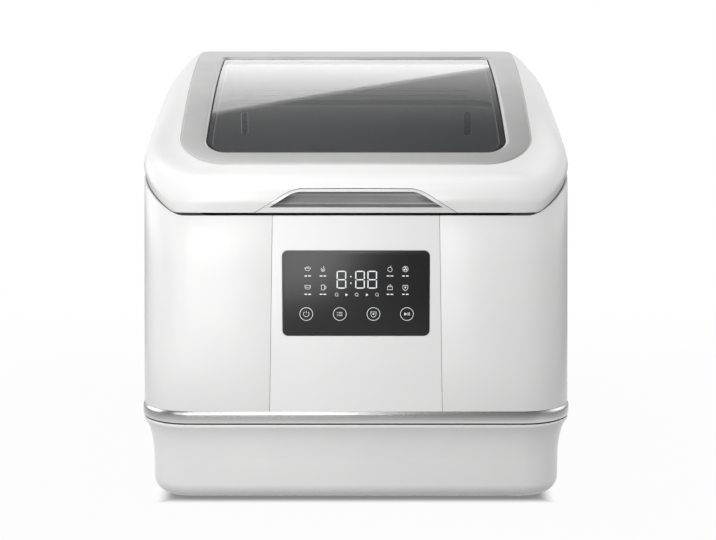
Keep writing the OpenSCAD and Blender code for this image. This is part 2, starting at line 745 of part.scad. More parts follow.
module inlet_valve() {
    place = [inlet_at.x, rear_y - wall - 8, inlet_at.y];
    color("ivory") difference() {
        union() {
            rod_y(inlet_r, wall + 8 + stub_out, place);
            rod_y(inlet_r + stub_hole/2, wall + 8, place);
            rod_y(inlet_r + 4, 8 - seat_gap, place);
            span([inlet_at.x - 15, rear_y - wall - 34, inlet_at.y - 15],
                [inlet_at.x + 15, rear_y - wall - 8, inlet_at.y + 15]);
            translate([inlet_at.x, rear_y - wall - 21, inlet_at.y + 15]) cylinder(r = 11, h = 26);
            rod_x(5, 20, [inlet_at.x - 28, rear_y - wall - 21, inlet_at.y]);
        }
        rod_y(inlet_r - 4, wall + 8 + stub_out, place + [0, 4, 0]);
    }
}

fill_at = [hub_y + 40, edge_z - 30];
fill_r = 6;
break_t = 26;
break_half = 80;
break_h = 110;
break_head = 20;
break_x = -tub_half - tub_wall - seat_gap;
module inlet_hose() {
    start = [inlet_at.x - 28 - seat_gap, rear_y - wall - 21, inlet_at.y];
    finish = [break_x - break_t/2, fill_at.x + break_half - 20, fill_at.y + break_head - break_h - seat_gap];
    color("slategray") hose(concat([start], curve([start - [straight/2, 0, 0], start - [14, 0, 0],
        finish - [0, 0, 70], finish - [0, 0, straight]], 14), [finish]), 5);
}

module air_break() {
    z1 = fill_at.y + break_head;
    z0 = z1 - break_h;
    color("whitesmoke") {
        difference() {
            span([break_x - break_t, fill_at.x - break_half, z0], [break_x, fill_at.x + break_half, z1]);
            span([break_x - break_t + 2, fill_at.x - break_half + 2, z0 + 12],
                [break_x - 2, fill_at.x + break_half - 2, z1 + 1]);
        }
        rod_x(fill_r - running, tub_wall + seat_gap + 4, [break_x, fill_at.x, fill_at.y]);
        for (i = [-3:3]) span([break_x - break_t - 2, fill_at.x + i*20 - 1, z0 + 8],
            [break_x - break_t, fill_at.x + i*20 + 1, z1 - 8]);
    }
}

board_l = 110;
board_h = 90;
board_case = 30;
module control_board() {
    x0 = tub_half + tub_wall + seat_gap;
    y0 = hub_y - 90;
    z0 = band_z1 + 50;
    color("darkgreen") {
        difference() {
            span([x0, y0, z0], [x0 + board_case, y0 + board_l, z0 + board_h]);
            span([x0 + 2, y0 + 2, z0 + 2], [x0 + board_case + 1, y0 + board_l - 2, z0 + board_h - 2]);
        }
        span([x0 + 6, y0 + 2, z0 + 2], [x0 + 7.6, y0 + board_l - 2, z0 + board_h - 2]);
        for (i = [0:3]) rod_x(6, 16, [x0 + 7.6, y0 + 20 + i*16, z0 + 70]);
        for (i = [0:2]) span([x0 + 7.6, y0 + 14 + i*30, z0 + 16], [x0 + 23, y0 + 34 + i*30, z0 + 42]);
        span([x0 + 7.6, y0 + 88, z0 + 54], [x0 + 14, y0 + 100, z0 + 80]);
    }
}

// ---------------------------------------------------------------- drying air

fan_wall = 2;
fan_gap = 3.5;
fan_l = 28;
duct_y0 = tub_y1 + tub_wall + seat_gap;
fan_y0 = duct_y0 + 6;
duct_half = slot_w/2 + 8;
module fan_housing() {
    r = fan_r + fan_gap + fan_wall;
    color("dimgray") difference() {
        union() {
            rod_y(r, fan_l, [fan_at.x, fan_y0, fan_at.y]);
            rod_y(14, fan_y0 - duct_y0, [fan_at.x, duct_y0, fan_at.y]);
            span([fan_at.x - duct_half, fan_y0, fan_at.y + 20],
                [fan_at.x + duct_half, fan_y0 + fan_l, slot_z1 + slot_margin]);
            span([fan_at.x - duct_half, duct_y0, slot_z0 - slot_margin],
                [fan_at.x + duct_half, fan_y0, slot_z1 + slot_margin]);
        }
        rod_y(r - fan_wall, fan_l - 2*fan_wall, [fan_at.x, fan_y0 + fan_wall, fan_at.y]);
        rod_y(fan_r - 8, fan_l, [fan_at.x, fan_y0 + fan_wall, fan_at.y]);
        rod_y(2 + running, 12, [fan_at.x, fan_y0 - 4, fan_at.y]);
        span([fan_at.x - duct_half + 2, fan_y0 + fan_wall, fan_at.y + 20],
            [fan_at.x + duct_half - 2, fan_y0 + fan_l - fan_wall, slot_z1 + slot_margin/2]);
        span([fan_at.x - duct_half + 2, tub_y1, slot_z0 - slot_margin/2],
            [fan_at.x + duct_half - 2, fan_y0 + fan_l - fan_wall, slot_z1 + slot_margin/2]);
    }
}

// Squirrel-cage wheel with forward-curved blades
module fan_wheel() {
    y0 = fan_y0 + fan_wall + 2;
    l = fan_l - 2*fan_wall - 4;
    ring = 1.6;
    color("black") {
        rod_y(2, 8, [fan_at.x, y0 - 8, fan_at.y]);
        rod_y(fan_r, ring, [fan_at.x, y0, fan_at.y]);
        rod_y(6, l - 6, [fan_at.x, y0, fan_at.y]);
        difference() {
            rod_y(fan_r, ring, [fan_at.x, y0 + l - ring, fan_at.y]);
            rod_y(fan_r - 5, ring + 2, [fan_at.x, y0 + l - ring - 1, fan_at.y]);
        }
        translate([fan_at.x, y0 + ring, fan_at.y]) rotate([-90, 0, 0])
            linear_extrude(l - 2*ring) for (i = [0:fan_blades - 1]) rotate(360*i/fan_blades)
            polygon([[fan_r - 4.6, 0], [fan_r - 2.6, 1.1], [fan_r - 0.6, 3.2], [fan_r - 0.6, 4.0],
                [fan_r - 2.8, 2.1], [fan_r - 4.6, 0.8]]);
    }
}

module exhaust_duct() {
    color("dimgray") difference() {
        span([-vent_x - duct_half, duct_y0, slot_z0 - slot_margin],
            [-vent_x + duct_half, rear_y - wall - seat_gap, slot_z1 + slot_margin]);
        span([-vent_x - duct_half + 2, duct_y0 - 1, slot_z0 - slot_margin/2],
            [-vent_x + duct_half - 2, rear_y, slot_z1 + slot_margin/2]);
    }
}

module lead_gland() {
    place = [lead_at.x, rear_y - wall - 10, lead_at.y];
    color("dimgray") difference() {
        union() {
            rod_y(lead_r + 4, wall + 16, place);
            rod_y(lead_r + 7, 3, [lead_at.x, rear_y, lead_at.y]);
            rod_y(lead_r + 6.5, 6 - seat_gap, [lead_at.x, rear_y - wall - 6, lead_at.y]);
        }
        rod_y(lead_r, wall + 20, place - [0, 1, 0]);
    }
}

// ---------------------------------------------------------------- lid lock

bolt_r = 2.5;
bolt_z = deck_low - 6.5;
bolt_y = (tongue_y0 + tongue_y1)/2;
bolt_travel = 8;
lock_x = slot_half + 1.5;
lock_l = 44;
module door_lock() {
    color("ivory") difference() {
        span([lock_x, bolt_y - 8, bolt_z - 8], [lock_x + lock_l, bolt_y + 8, deck_low - deck_t - 0.05]);
        rod_x(bolt_r + running, lock_l - 8, [lock_x - 1, bolt_y, bolt_z]);
    }
}

module lock_bolt() {
    color("silver") rod_x(bolt_r, 24, [lock_x - 1, bolt_y, bolt_z]);
}

// ---------------------------------------------------------------- hinge

hinge_y = rear_y - 22;
hinge_z = seam_z(rear_y) + 16.4;
hinge_x = 120;
pin_r = 3;
eye_r = 8;
bracket_w = 10;
arm_t = 5;
arm_gap = 0.5;
lid_swing = 75;

module hinge_brackets() {
    color("gray") for (x = [-1, 1]) difference() {
        union() {
            rod_x(eye_r, bracket_w, [x*hinge_x - bracket_w/2, hinge_y, hinge_z]);
            span([x*hinge_x - bracket_w/2, hinge_y - eye_r, well_z],
                [x*hinge_x + bracket_w/2, hinge_y + eye_r, hinge_z]);
            span([x*hinge_x - 14, hinge_y - 11, well_z], [x*hinge_x + 14, hinge_y + 13, well_z + 2]);
        }
        rod_x(pin_r, bracket_w + 2, [x*hinge_x - bracket_w/2 - 1, hinge_y, hinge_z]);
    }
}

pin_half = bracket_w/2 + arm_gap + arm_t + 1;
damper_l = 12;
module hinge_pins() {
    color("silver") for (x = [-1, 1])
        rod_x(pin_r, 2*pin_half + damper_l, [x*hinge_x - pin_half - (x < 0 ? damper_l : 0), hinge_y, hinge_z]);
}

module hinge_dampers() {
    color("dimgray") for (x = [-1, 1]) difference() {
        rod_x(9, damper_l, [x*(hinge_x + pin_half) - (x < 0 ? damper_l : 0), hinge_y, hinge_z]);
        rod_x(pin_r, damper_l + 2, [x*(hinge_x + pin_half) - (x < 0 ? damper_l : 0) - 1, hinge_y, hinge_z]);
    }
}

module hinge_arms() {
    flange_sag = (frame_y1 - window_y1 + flange_in)^2/(8*crown_r);
    top = under_flange(hinge_y - 14) - flange_sag;
    color("gray") for (x = [-1, 1], side = [-1, 1])
        translate([x*hinge_x + side*(bracket_w/2 + arm_gap + arm_t/2), 0, 0]) difference() {
            union() {
                rod_x(eye_r, arm_t, [-arm_t/2, hinge_y, hinge_z]);
                span([-arm_t/2, hinge_y - eye_r, hinge_z], [arm_t/2, hinge_y + 3, top]);
                span([min(-arm_t/2, side*9), hinge_y - 14, top - 3], [max(arm_t/2, side*9), hinge_y + 3, top]);
            }
            rod_x(pin_r + running, arm_t + 2, [-arm_t/2 - 1, hinge_y, hinge_z]);
        }
}

// ---------------------------------------------------------------- dish rack

rack_z = tub_z1 + 44;
rack_half = tub_half - 17;
rack_y0 = tub_y0 + 14;
rack_y1 = tub_y1 - 14;
rack_r = 14;
cross_count = 9;
long_wire_r = wire_r - 0.15;
cross_wire_r = wire_r - 0.3;
post_wire_r = wire_r - 0.45;
function cross_y(i) = mix(rack_y0 + rack_r, rack_y1 - rack_r, i/(cross_count - 1));

module rail(z) {
    for (x = [-1, 1]) {
        rod_y(wire_r, rack_y1 - rack_y0 - 2*rack_r, [x*rack_half, rack_y0 + rack_r, z]);
        for (y = [-1, 1]) translate([x*(rack_half - rack_r), y < 0 ? rack_y0 + rack_r : rack_y1 - rack_r, z])
            rotate(x > 0 ? (y < 0 ? -90 : 0) : (y < 0 ? 180 : 90)) rotate_extrude(angle = 90)
            translate([rack_r, 0]) circle(wire_r);
    }
    for (y = [rack_y0, rack_y1]) rod_x(wire_r, 2*(rack_half - rack_r), [rack_r - rack_half, y, z]);
}

cross_half = rack_half + cross_wire_r;
long_wires = [-rack_half/2, 0, rack_half/2];
weld = 0.02;
module dish_rack() {
    color("white") {
        rail(rack_z);
        for (i = [0:cross_count - 1])
            rod_x(cross_wire_r, 2*cross_half, [-cross_half, cross_y(i), rack_z + wire_r]);
        for (x = long_wires) rod_y(long_wire_r, rack_y1 - rack_y0, [x, rack_y0, rack_z - wire_r]);
    }
}

// Upper rail on posts that stand on the floor's wires
module rack_fence() {
    color("white") {
        rail(rack_z + rack_h);
        for (x = [-1, 1], i = [0:2:cross_count - 1])
            post(x*rack_half, cross_y(i), rack_z + wire_r + cross_wire_r);
        for (x = long_wires, y = [rack_y0, rack_y1]) post(x, y, rack_z + wire_r);
    }
}
module post(x, y, foot_z) {
    translate([x, y, foot_z + weld]) cylinder(r = post_wire_r, h = rack_z + rack_h - foot_z - weld);
}

module rack_legs() {
    foot_z = tub_z1 + seat_gap;
    color("white") for (x = [-1, 1], i = [0, cross_count - 1]) translate([x*rack_half, cross_y(i), foot_z])
        cylinder(r = wire_r + 0.8, h = rack_z - wire_r - weld - foot_z);
}

// Rows of uprights between which plates stand
module plate_tines() {
    tine_h = 52;
    tine_r = wire_r - 0.25;
    rows = floor((rack_y1 - rack_y0 - 2*rack_r)/tine_pitch);
    color("white") for (x = [15, 100]) {
        rod_y(wire_r, rack_y1 - rack_y0 - 8, [x, rack_y0 + 4, rack_z + 3*wire_r + 0.1]);
        for (i = [0:rows]) translate([x, (rack_y0 + rack_y1)/2 + (i - rows/2)*tine_pitch, rack_z + 3*wire_r]) {
            cylinder(r = tine_r, h = tine_h);
            translate([0, 0, tine_h]) cylinder(r1 = tine_r, r2 = tine_r/2, h = tine_r/2);
        }
    }
}

basket_wall = 1.8;
basket_x0 = -rack_half + 7;
basket_w = 58;
basket_y0 = hub_y - 70;
basket_l = 140;
basket_h = 74;
basket_z = rack_z + 2*wire_r + 0.1;
basket_pitch = 12;
basket_fit = 0.1;
basket_rows = [0:floor(basket_l/basket_pitch) - 2];

// Floor of the cutlery basket with its drain slots
module cutlery_basket() {
    color("lightgray") difference() {
        span([basket_x0, basket_y0, basket_z], [basket_x0 + basket_w, basket_y0 + basket_l, basket_z + basket_wall]);
        for (i = basket_rows) translate([0, basket_y0 + 11 + i*basket_pitch, 0])
            span([basket_x0 + 9, 0, basket_z - 1], [basket_x0 + basket_w - 9, 4, basket_z + basket_wall + 1]);
    }
}

// Long side panels of the basket, slotted from near the foot to near the head
module basket_sides() {
    color("lightgray") for (x = [basket_x0, basket_x0 + basket_w - basket_wall]) difference() {
        span([x, basket_y0, basket_z + basket_wall + basket_fit],
            [x + basket_wall, basket_y0 + basket_l, basket_z + basket_h]);
        for (i = basket_rows) translate([0, basket_y0 + 9 + i*basket_pitch, 0])
            span([x - 1, 0, basket_z + 10], [x + basket_wall + 1, basket_pitch - 4, basket_z + basket_h - 14]);
    }
}

// End panels and the divider of the basket
module basket_ends() {
    inner = basket_wall + basket_fit;
    color("lightgray") for (y = [0, 0.5, 1]) translate([0, basket_y0 + y*(basket_l - basket_wall), 0])
        span([basket_x0 + inner, 0, basket_z + inner],
            [basket_x0 + basket_w - inner, basket_wall, basket_z + basket_h - (y == 0.5 ? 6 : 0)]);
}

// ---------------------------------------------------------------- lid

seat_drop = 5;
lid_y0 = edge_y - 3;
lid_y1 = rear_y - 6;
lid_half = casing_half(edge_z) - crease_out - 0.3;
frame_y0 = face_y + frame_front;
frame_y1 = rear_y - 14;
frame_flare = 4.5;
frame_r0 = 50;
frame_r1 = 10;
window_y0 = face_y + window_front;
window_y1 = rear_y - window_rear;
window_r0 = 24;
window_r1 = 8;
flange_in = 7;
skin_steps = 6;
plan_last = len(half_outline(1, 0, 1, 0, 0)) - 1;

lid_plan = half_outline(lid_half, lid_y0, lid_y1, corner_r, rear_corner_r);
frame_plan = half_outline(frame_half, frame_y0, frame_y1, frame_r0, frame_r1, frame_flare);
function window_plan(inset) = half_outline(window_half - inset, window_y0 + inset, window_y1 - inset,
    window_r0 - inset*0.6, max(2, window_r1 - inset));

// Skin from the crease over the shoulder to the frame at station i, with a chosen depth below it
function skin_out(i) = unit(lid_plan[i] - frame_plan[i]);
function skin_ctrl(i) = let (
    out = skin_out(i), foot = lid_plan[i] + out*crease_out, head = frame_plan[i],
    frontness = max(0, -out.y)^2,
    b = [foot.x, foot.y, seam_z(lid_plan[i].y) + lid_gap + lip_h],
    c = [head.x, head.y, crown_z(head.y)],
    length = norm(c - b),
    rise = mix(86, 72, frontness),
    fall = atan(norm([out.y < 0 ? crown_slope(head.y)*out.y : 0, tan(20)*out.x, out.y > 0 ? tan(20)*out.y : 0])),
    kb = mix(0.5, 0.34, frontness))
    [b, b + length*kb*[-out.x*cos(rise), -out.y*cos(rise), sin(rise)],
        c + length*0.3*[out.x*cos(fall), out.y*cos(fall), -sin(fall)], c];
function skin_point(i, t, depth) = let (
    c = skin_ctrl(i), u = 1 - t, p = curve_at(c, t),
    d = unit(u^2*(c[1] - c[0]) + 2*u*t*(c[2] - c[1]) + t^2*(c[3] - c[2])),
    out = skin_out(i), inward = -(d.x*out.x + d.y*out.y))
    p - depth*[out.x*d.z, out.y*d.z, inward];

function shell_loop(i) = let (
    p = lid_plan[i], out = skin_out(i), z0 = seam_z(p.y) + lid_gap, f = frame_plan[i],
    w = window_plan(flange_in)[i], zf = crown_z(f.y) - seat_drop, zw = crown_z(w.y) - seat_drop)
    concat([[p.x, p.y, z0]],
        [for (k = [0:skin_steps]) skin_point(i, k/skin_steps, 0)],
        [[f.x, f.y, zf], [w.x, w.y, zw], [w.x, w.y, zw - wall],
            [f.x + out.x*wall, f.y + out.y*wall, zf - wall]],
        [for (k = [skin_steps - 1:-1:0]) skin_point(i, k/skin_steps, wall)],
        [[p.x - out.x*wall, p.y - out.y*wall, z0]]);

handle_low = edge_z + lid_gap;
handle_slant = 38;
handle_face = lid_y0 + 0.4;
module handle_outline(shrink, low, high) {
    inset = handle_slant/handle_h;
    translate([0, handle_low]) polygon([for (s = [-1, 1]) each let (
        a = [s*(handle_half - shrink - inset*low), low], b = [s*(handle_half - shrink - inset*high), high])
        (s < 0 ? [b, a] : [a, b])]);
}
module handle_prism(shrink, low, high, y0, y1) {
    translate([0, y1, 0]) rotate([90, 0, 0]) linear_extrude(y1 - y0) handle_outline(shrink, low, high);
}

module lid_shell() {
    color("white") difference() {
        loft(full_ring([for (i = [0:plan_last]) shell_loop(i)]), closed = true);
        handle_prism(-seat_gap, -5, handle_h + seat_gap, lid_y0 - 20, lid_y0 + 22);
        for (x = [-1, 1]) span([x*hinge_x - bracket_w/2 - 2, hinge_y, seam_z(rear_y) - 10],
            [x*hinge_x + bracket_w/2 + 2, rear_y, hinge_z + 11]);
    }
}

// Silver frame round the window, bevelled down to the glass
module lid_frame() {
    proud = 0.8;
    color("silver") loft(full_ring([for (i = [0:plan_last])
        let (f0 = half_outline(frame_half - 0.2, frame_y0 + 0.2, frame_y1 - 0.2, frame_r0, frame_r1,
                frame_flare)[i],
            f1 = half_outline(frame_half - 1.4, frame_y0 + 1.4, frame_y1 - 1.4, frame_r0 - 1, frame_r1 - 1,
                frame_flare)[i],
            w0 = window_plan(0)[i], w1 = window_plan(-3)[i])
        [[f0.x, f0.y, crown_z(f0.y) - seat_drop + seat_gap], [f0.x, f0.y, crown_z(f0.y) - 0.2],
            [f1.x, f1.y, crown_z(f1.y) + proud], [w1.x, w1.y, crown_z(w1.y) + proud],
            [w0.x, w0.y, crown_z(w0.y) - 1.2], [w0.x, w0.y, crown_z(w0.y) - seat_drop + seat_gap]]]),
        closed = true, flip = true);
}

glass_top = 1;
glass_inset = 1.6;
module glass_seal() {
    color("black") loft(full_ring([for (i = [0:plan_last])
        let (s0 = window_plan(0.3)[i], s1 = window_plan(glass_inset - 0.3)[i], s2 = window_plan(flange_in - 1)[i],
            low = seat_drop - seat_gap/2, shelf = glass_top + glass_t + 0.75*seat_gap)
        [[s0.x, s0.y, crown_z(s0.y) - low], [s0.x, s0.y, crown_z(s0.y) - glass_top - 0.6],
            [s1.x, s1.y, crown_z(s1.y) - glass_top - 0.6], [s1.x, s1.y, crown_z(s1.y) - shelf],
            [s2.x, s2.y, crown_z(s2.y) - shelf], [s2.x, s2.y, crown_z(s2.y) - low]]]), closed = true);
}

module lid_glass() {
    steps = 20;
    top = [for (i = [0:steps]) let (y = mix(window_y0, window_y1, i/steps)) [y, crown_z(y) - glass_top]];
    color("lightgray", 0.4) intersection() {
        across(concat(top, [for (i = [steps:-1:0]) top[i] - [0, glass_t]]), window_half);
        translate([0, 0, edge_z]) linear_extrude(lid_rise) plan(window_half - glass_inset,
            window_y0 + glass_inset, window_y1 - glass_inset, window_r0 - glass_inset*0.6, window_r1 - glass_inset);
    }
}

// Height just under the shell's flange at depth y
function under_flange(y) = crown_z(y) - seat_drop - wall - seat_gap;

// Inner moulding: down from the window to the seal, then out to the skin
liner_t = 2;
module lid_liner() {
    foot_out = gasket_out + gasket_half_w + 4;
    skirt = wall + 1;
    color("gainsboro") difference() {
        loft(full_ring([for (i = [0:plan_last])
            let (w = window_plan(flange_in)[i],
                t = half_outline(tub_half + 1, tub_y0 - 1, tub_y1 + 1, tub_r, tub_r)[i],
                tz = deck_z(t.y) + deck_to_liner,
                g = half_outline(tub_half + foot_out, tub_y0 - foot_out, tub_y1 + foot_out,
                    tub_r + foot_out, tub_r + foot_out)[i],
                gz = deck_z(g.y) + deck_to_liner,
                s = half_outline(lid_half - skirt, lid_y0 + skirt, lid_y1 - skirt,
                    corner_r - skirt, rear_corner_r - skirt)[i],
                sz = seam_z(s.y) + lid_gap + 0.5,
                out = unit(g - t), head = w + out*liner_t)
            [[s.x, s.y, sz], [s.x, s.y, sz + liner_t], [g.x, g.y, gz + liner_t],
                [t.x + out.x*liner_t, t.y + out.y*liner_t, tz + liner_t], [head.x, head.y, under_flange(head.y)],
                [w.x, w.y, under_flange(w.y)], [t.x, t.y, tz], [g.x, g.y, gz]]]), closed = true);
        for (x = [-1, 1]) span([x*hinge_x - bracket_w/2 - 2, hinge_y - eye_r - 8, hinge_z - 40],
            [x*hinge_x + bracket_w/2 + 2, rear_y, hinge_z - 4]);
    }
}

// Silver grip with a finger recess, flush with the lid's lower edge
recess_low = 5;
recess_high = 21;
recess_depth = 17;
handle_t = 3;
module handle_insert() {
    color("silver") difference() {
        union() {
            intersection() {
                handle_prism(0, 0, handle_h, lid_y0 - 20, lid_y0 + 14);
                across(concat(handle_line(0.5), reversed(handle_line(-handle_t))), handle_half + 1);
            }
            handle_prism(1.5, recess_low - 1.6, recess_high + 1.6, handle_face + handle_t,
                handle_face + recess_depth + 1.6);
        }
        handle_prism(6, recess_low, recess_high, lid_y0 - 20, handle_face + recess_depth);
    }
}
// Side profile of the lid's front skin, set out by an amount
function handle_line(out) = concat([[lid_y0 - out, handle_low], [lid_y0 - crease_out - out, handle_low + lip_h]],
    [for (k = [1:3]) let (p = skin_point(0, k*0.12, -out)) [p.y, p.z]]);

module lock_tongue() {
    z1 = deck_z(bolt_y) + deck_to_liner;
    color("silver") difference() {
        union() {
            span([-tongue_t/2, tongue_y0, bolt_z - 6], [tongue_t/2, tongue_y1, z1 - 0.05]);
            span([-9, tongue_y0, z1 - 1.6], [9, tongue_y1, z1 - 0.05]);
        }
        span([-tongue_t, bolt_y - 2.9, bolt_z - 3.2], [tongue_t, bolt_y + 2.9, bolt_z + 3.2]);
    }
}

base_tray();
tub_posts();
rubber_feet();
trim_band();
left_side_panel();
right_side_panel();
front_panel();
rear_cover();
cover_screws();
display_glass();
display_board();
top_deck();
tub();
tub_gasket();
sump();
coarse_filter();
filter_cup();
pump_housing();
pump_rotor();
pump_bracket();
wash_duct();
spray_hub();
spray_arm();
spray_cap();
heater_element();
drain_pump();
drain_hose();
drain_spigot();
inlet_valve();
inlet_hose();
air_break();
control_board();
fan_housing();
fan_wheel();
exhaust_duct();
lead_gland();
door_lock();
lock_bolt();
hinge_brackets();
hinge_pins();
hinge_dampers();
dish_rack();
rack_fence();
rack_legs();
plate_tines();
cutlery_basket();
basket_sides();
basket_ends();
lid_shell();
lid_frame();
glass_seal();
lid_glass();
lid_liner();
handle_insert();
lock_tongue();
hinge_arms();
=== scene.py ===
"""Looks of a countertop dishwasher with a glazed, upward-opening lid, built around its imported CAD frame.

Lengths are worked out in millimetres and turned into metres where a mesh is made. The front faces -Y.
"""

import logging
import math
from contextlib import contextmanager
from dataclasses import dataclass, field
from enum import Enum
from typing import Callable, Iterator, Sequence

import bpy
from mathutils import Matrix, Vector


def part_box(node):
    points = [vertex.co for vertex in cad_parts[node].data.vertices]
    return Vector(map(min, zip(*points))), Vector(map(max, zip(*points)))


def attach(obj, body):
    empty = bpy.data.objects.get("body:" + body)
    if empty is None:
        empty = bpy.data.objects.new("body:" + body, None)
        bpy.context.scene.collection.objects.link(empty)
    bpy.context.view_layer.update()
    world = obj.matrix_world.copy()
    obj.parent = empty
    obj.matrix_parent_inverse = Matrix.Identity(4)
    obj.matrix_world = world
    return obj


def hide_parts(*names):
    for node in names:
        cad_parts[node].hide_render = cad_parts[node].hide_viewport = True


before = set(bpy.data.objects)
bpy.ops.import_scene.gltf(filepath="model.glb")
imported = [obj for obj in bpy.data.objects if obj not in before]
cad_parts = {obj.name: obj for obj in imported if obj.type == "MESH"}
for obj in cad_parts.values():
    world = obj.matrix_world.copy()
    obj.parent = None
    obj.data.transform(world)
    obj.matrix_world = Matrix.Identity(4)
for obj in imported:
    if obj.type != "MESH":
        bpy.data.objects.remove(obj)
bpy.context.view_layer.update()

LOG = logging.getLogger("dishwasher")
MM = 0.001
Point = tuple[float, float, float]
Loop = list[Point]


# ------------------------------------------------------------------ forms


def mix(a: float, b: float, t: float) -> float:
    """Value a share t of the way from a to b."""
    return a + (b - a) * t


def ease(t: float) -> float:
    """Smooth step from 0 to 1."""
    u = max(0.0, min(1.0, t))
    return u * u * (3 - 2 * u)


@dataclass(frozen=True)
class Plan:
    """Half of a plan outline with round corners, from the front centre round the right to the rear centre."""

    half: float
    y0: float
    y1: float
    r0: float
    r1: float
    flare: float = 0.0

    CORNER = 18
    SIDE = 20
    REAR = 12

    def points(self) -> list[tuple[float, float]]:
        """Outline points, the same count for every plan.

        Returns:
            Points (x, y) in millimetres.
        """
        pts = [(0.0, self.y0)]
        r0, r1 = self.r0, self.r1
        for i in range(self.CORNER + 1):
            a = math.radians(90 * i / self.CORNER - 90)
            pts.append((self.half - r0 + r0 * math.cos(a), self.y0 + r0 + r0 * math.sin(a)))
        for i in range(1, self.SIDE):
            pts.append((self.half, mix(self.y0 + r0, self.y1 - r1, i / self.SIDE)))
        for i in range(self.REAR + 1):
            a = math.radians(90 * i / self.REAR)
            pts.append((self.half - r1 + r1 * math.cos(a), self.y1 - r1 + r1 * math.sin(a)))
        pts.append((0.0, self.y1))
        depth = self.y1 - self.y0
        return [(x * (1 + self.flare / self.half * (y - self.y0) / depth), y) for x, y in pts]


@dataclass(frozen=True)
class Casing:
    """Sizes and curves that the body, the base and the lid share, in millimetres."""

    face_y: float = -215.0
    rear_y: float = 199.0
    base_z0: float = 3.0
    base_z1: float = 85.0
    band_z1: float = 99.0
    edge_z: float = 300.0
    band_half: float = 223.0
    proud: float = 1.2
    side_draft: float = 3.0
    front_draft: float = 8.0
    panel_h: float = 201.0
    corner_r: float = 52.0
    rear_r: float = 40.0
    wall: float = 2.5
    seam_rise: float = 33.0
    seam_slope: float = 0.15
    seam_run: float = 28.0
    crown_r: float = 915.0
    crown_y: float = 235.5
    lid_rise: float = 148.0
    front_foot: float = 88.0
    front_head: float = 84.0
    display_up: float = 122.0

    def half(self, z: float) -> float:
        """Half width of the casing at height z."""
        return self.band_half - self.proud - self.side_draft * (z - self.band_z1) / self.panel_h

    def front(self, z: float) -> float:
        """Depth position of the casing's front at height z."""
        return self.face_y + self.proud + self.front_draft * (z - self.band_z1) / self.panel_h

    @property
    def edge_y(self) -> float:
        """Depth position of the body's front edge."""
        return self.face_y + self.proud + self.front_draft

    def seam(self, y: float) -> float:
        """Height of the joint between body and lid at depth y."""
        d = max(0.0, y - self.edge_y - 1)
        return self.edge_z + self.seam_rise * (1 - math.exp(-d / self.seam_run)) + self.seam_slope * d

    def crown(self, y: float) -> float:
        """Height of the lid's crown at depth y."""
        low = self.edge_z + self.lid_rise - self.crown_r
        return low + math.sqrt(self.crown_r**2 - (y - self.crown_y) ** 2)

    def crown_slope(self, y: float) -> float:
        """Slope of the crown towards the rear at depth y."""
        return (self.crown_y - y) / math.sqrt(self.crown_r**2 - (y - self.crown_y) ** 2)

    @property
    def lean(self) -> float:
        """Angle by which the front leans back, in radians."""
        return math.atan(self.front_draft / self.panel_h)


FORM = Casing()


# ------------------------------------------------------------------ meshing


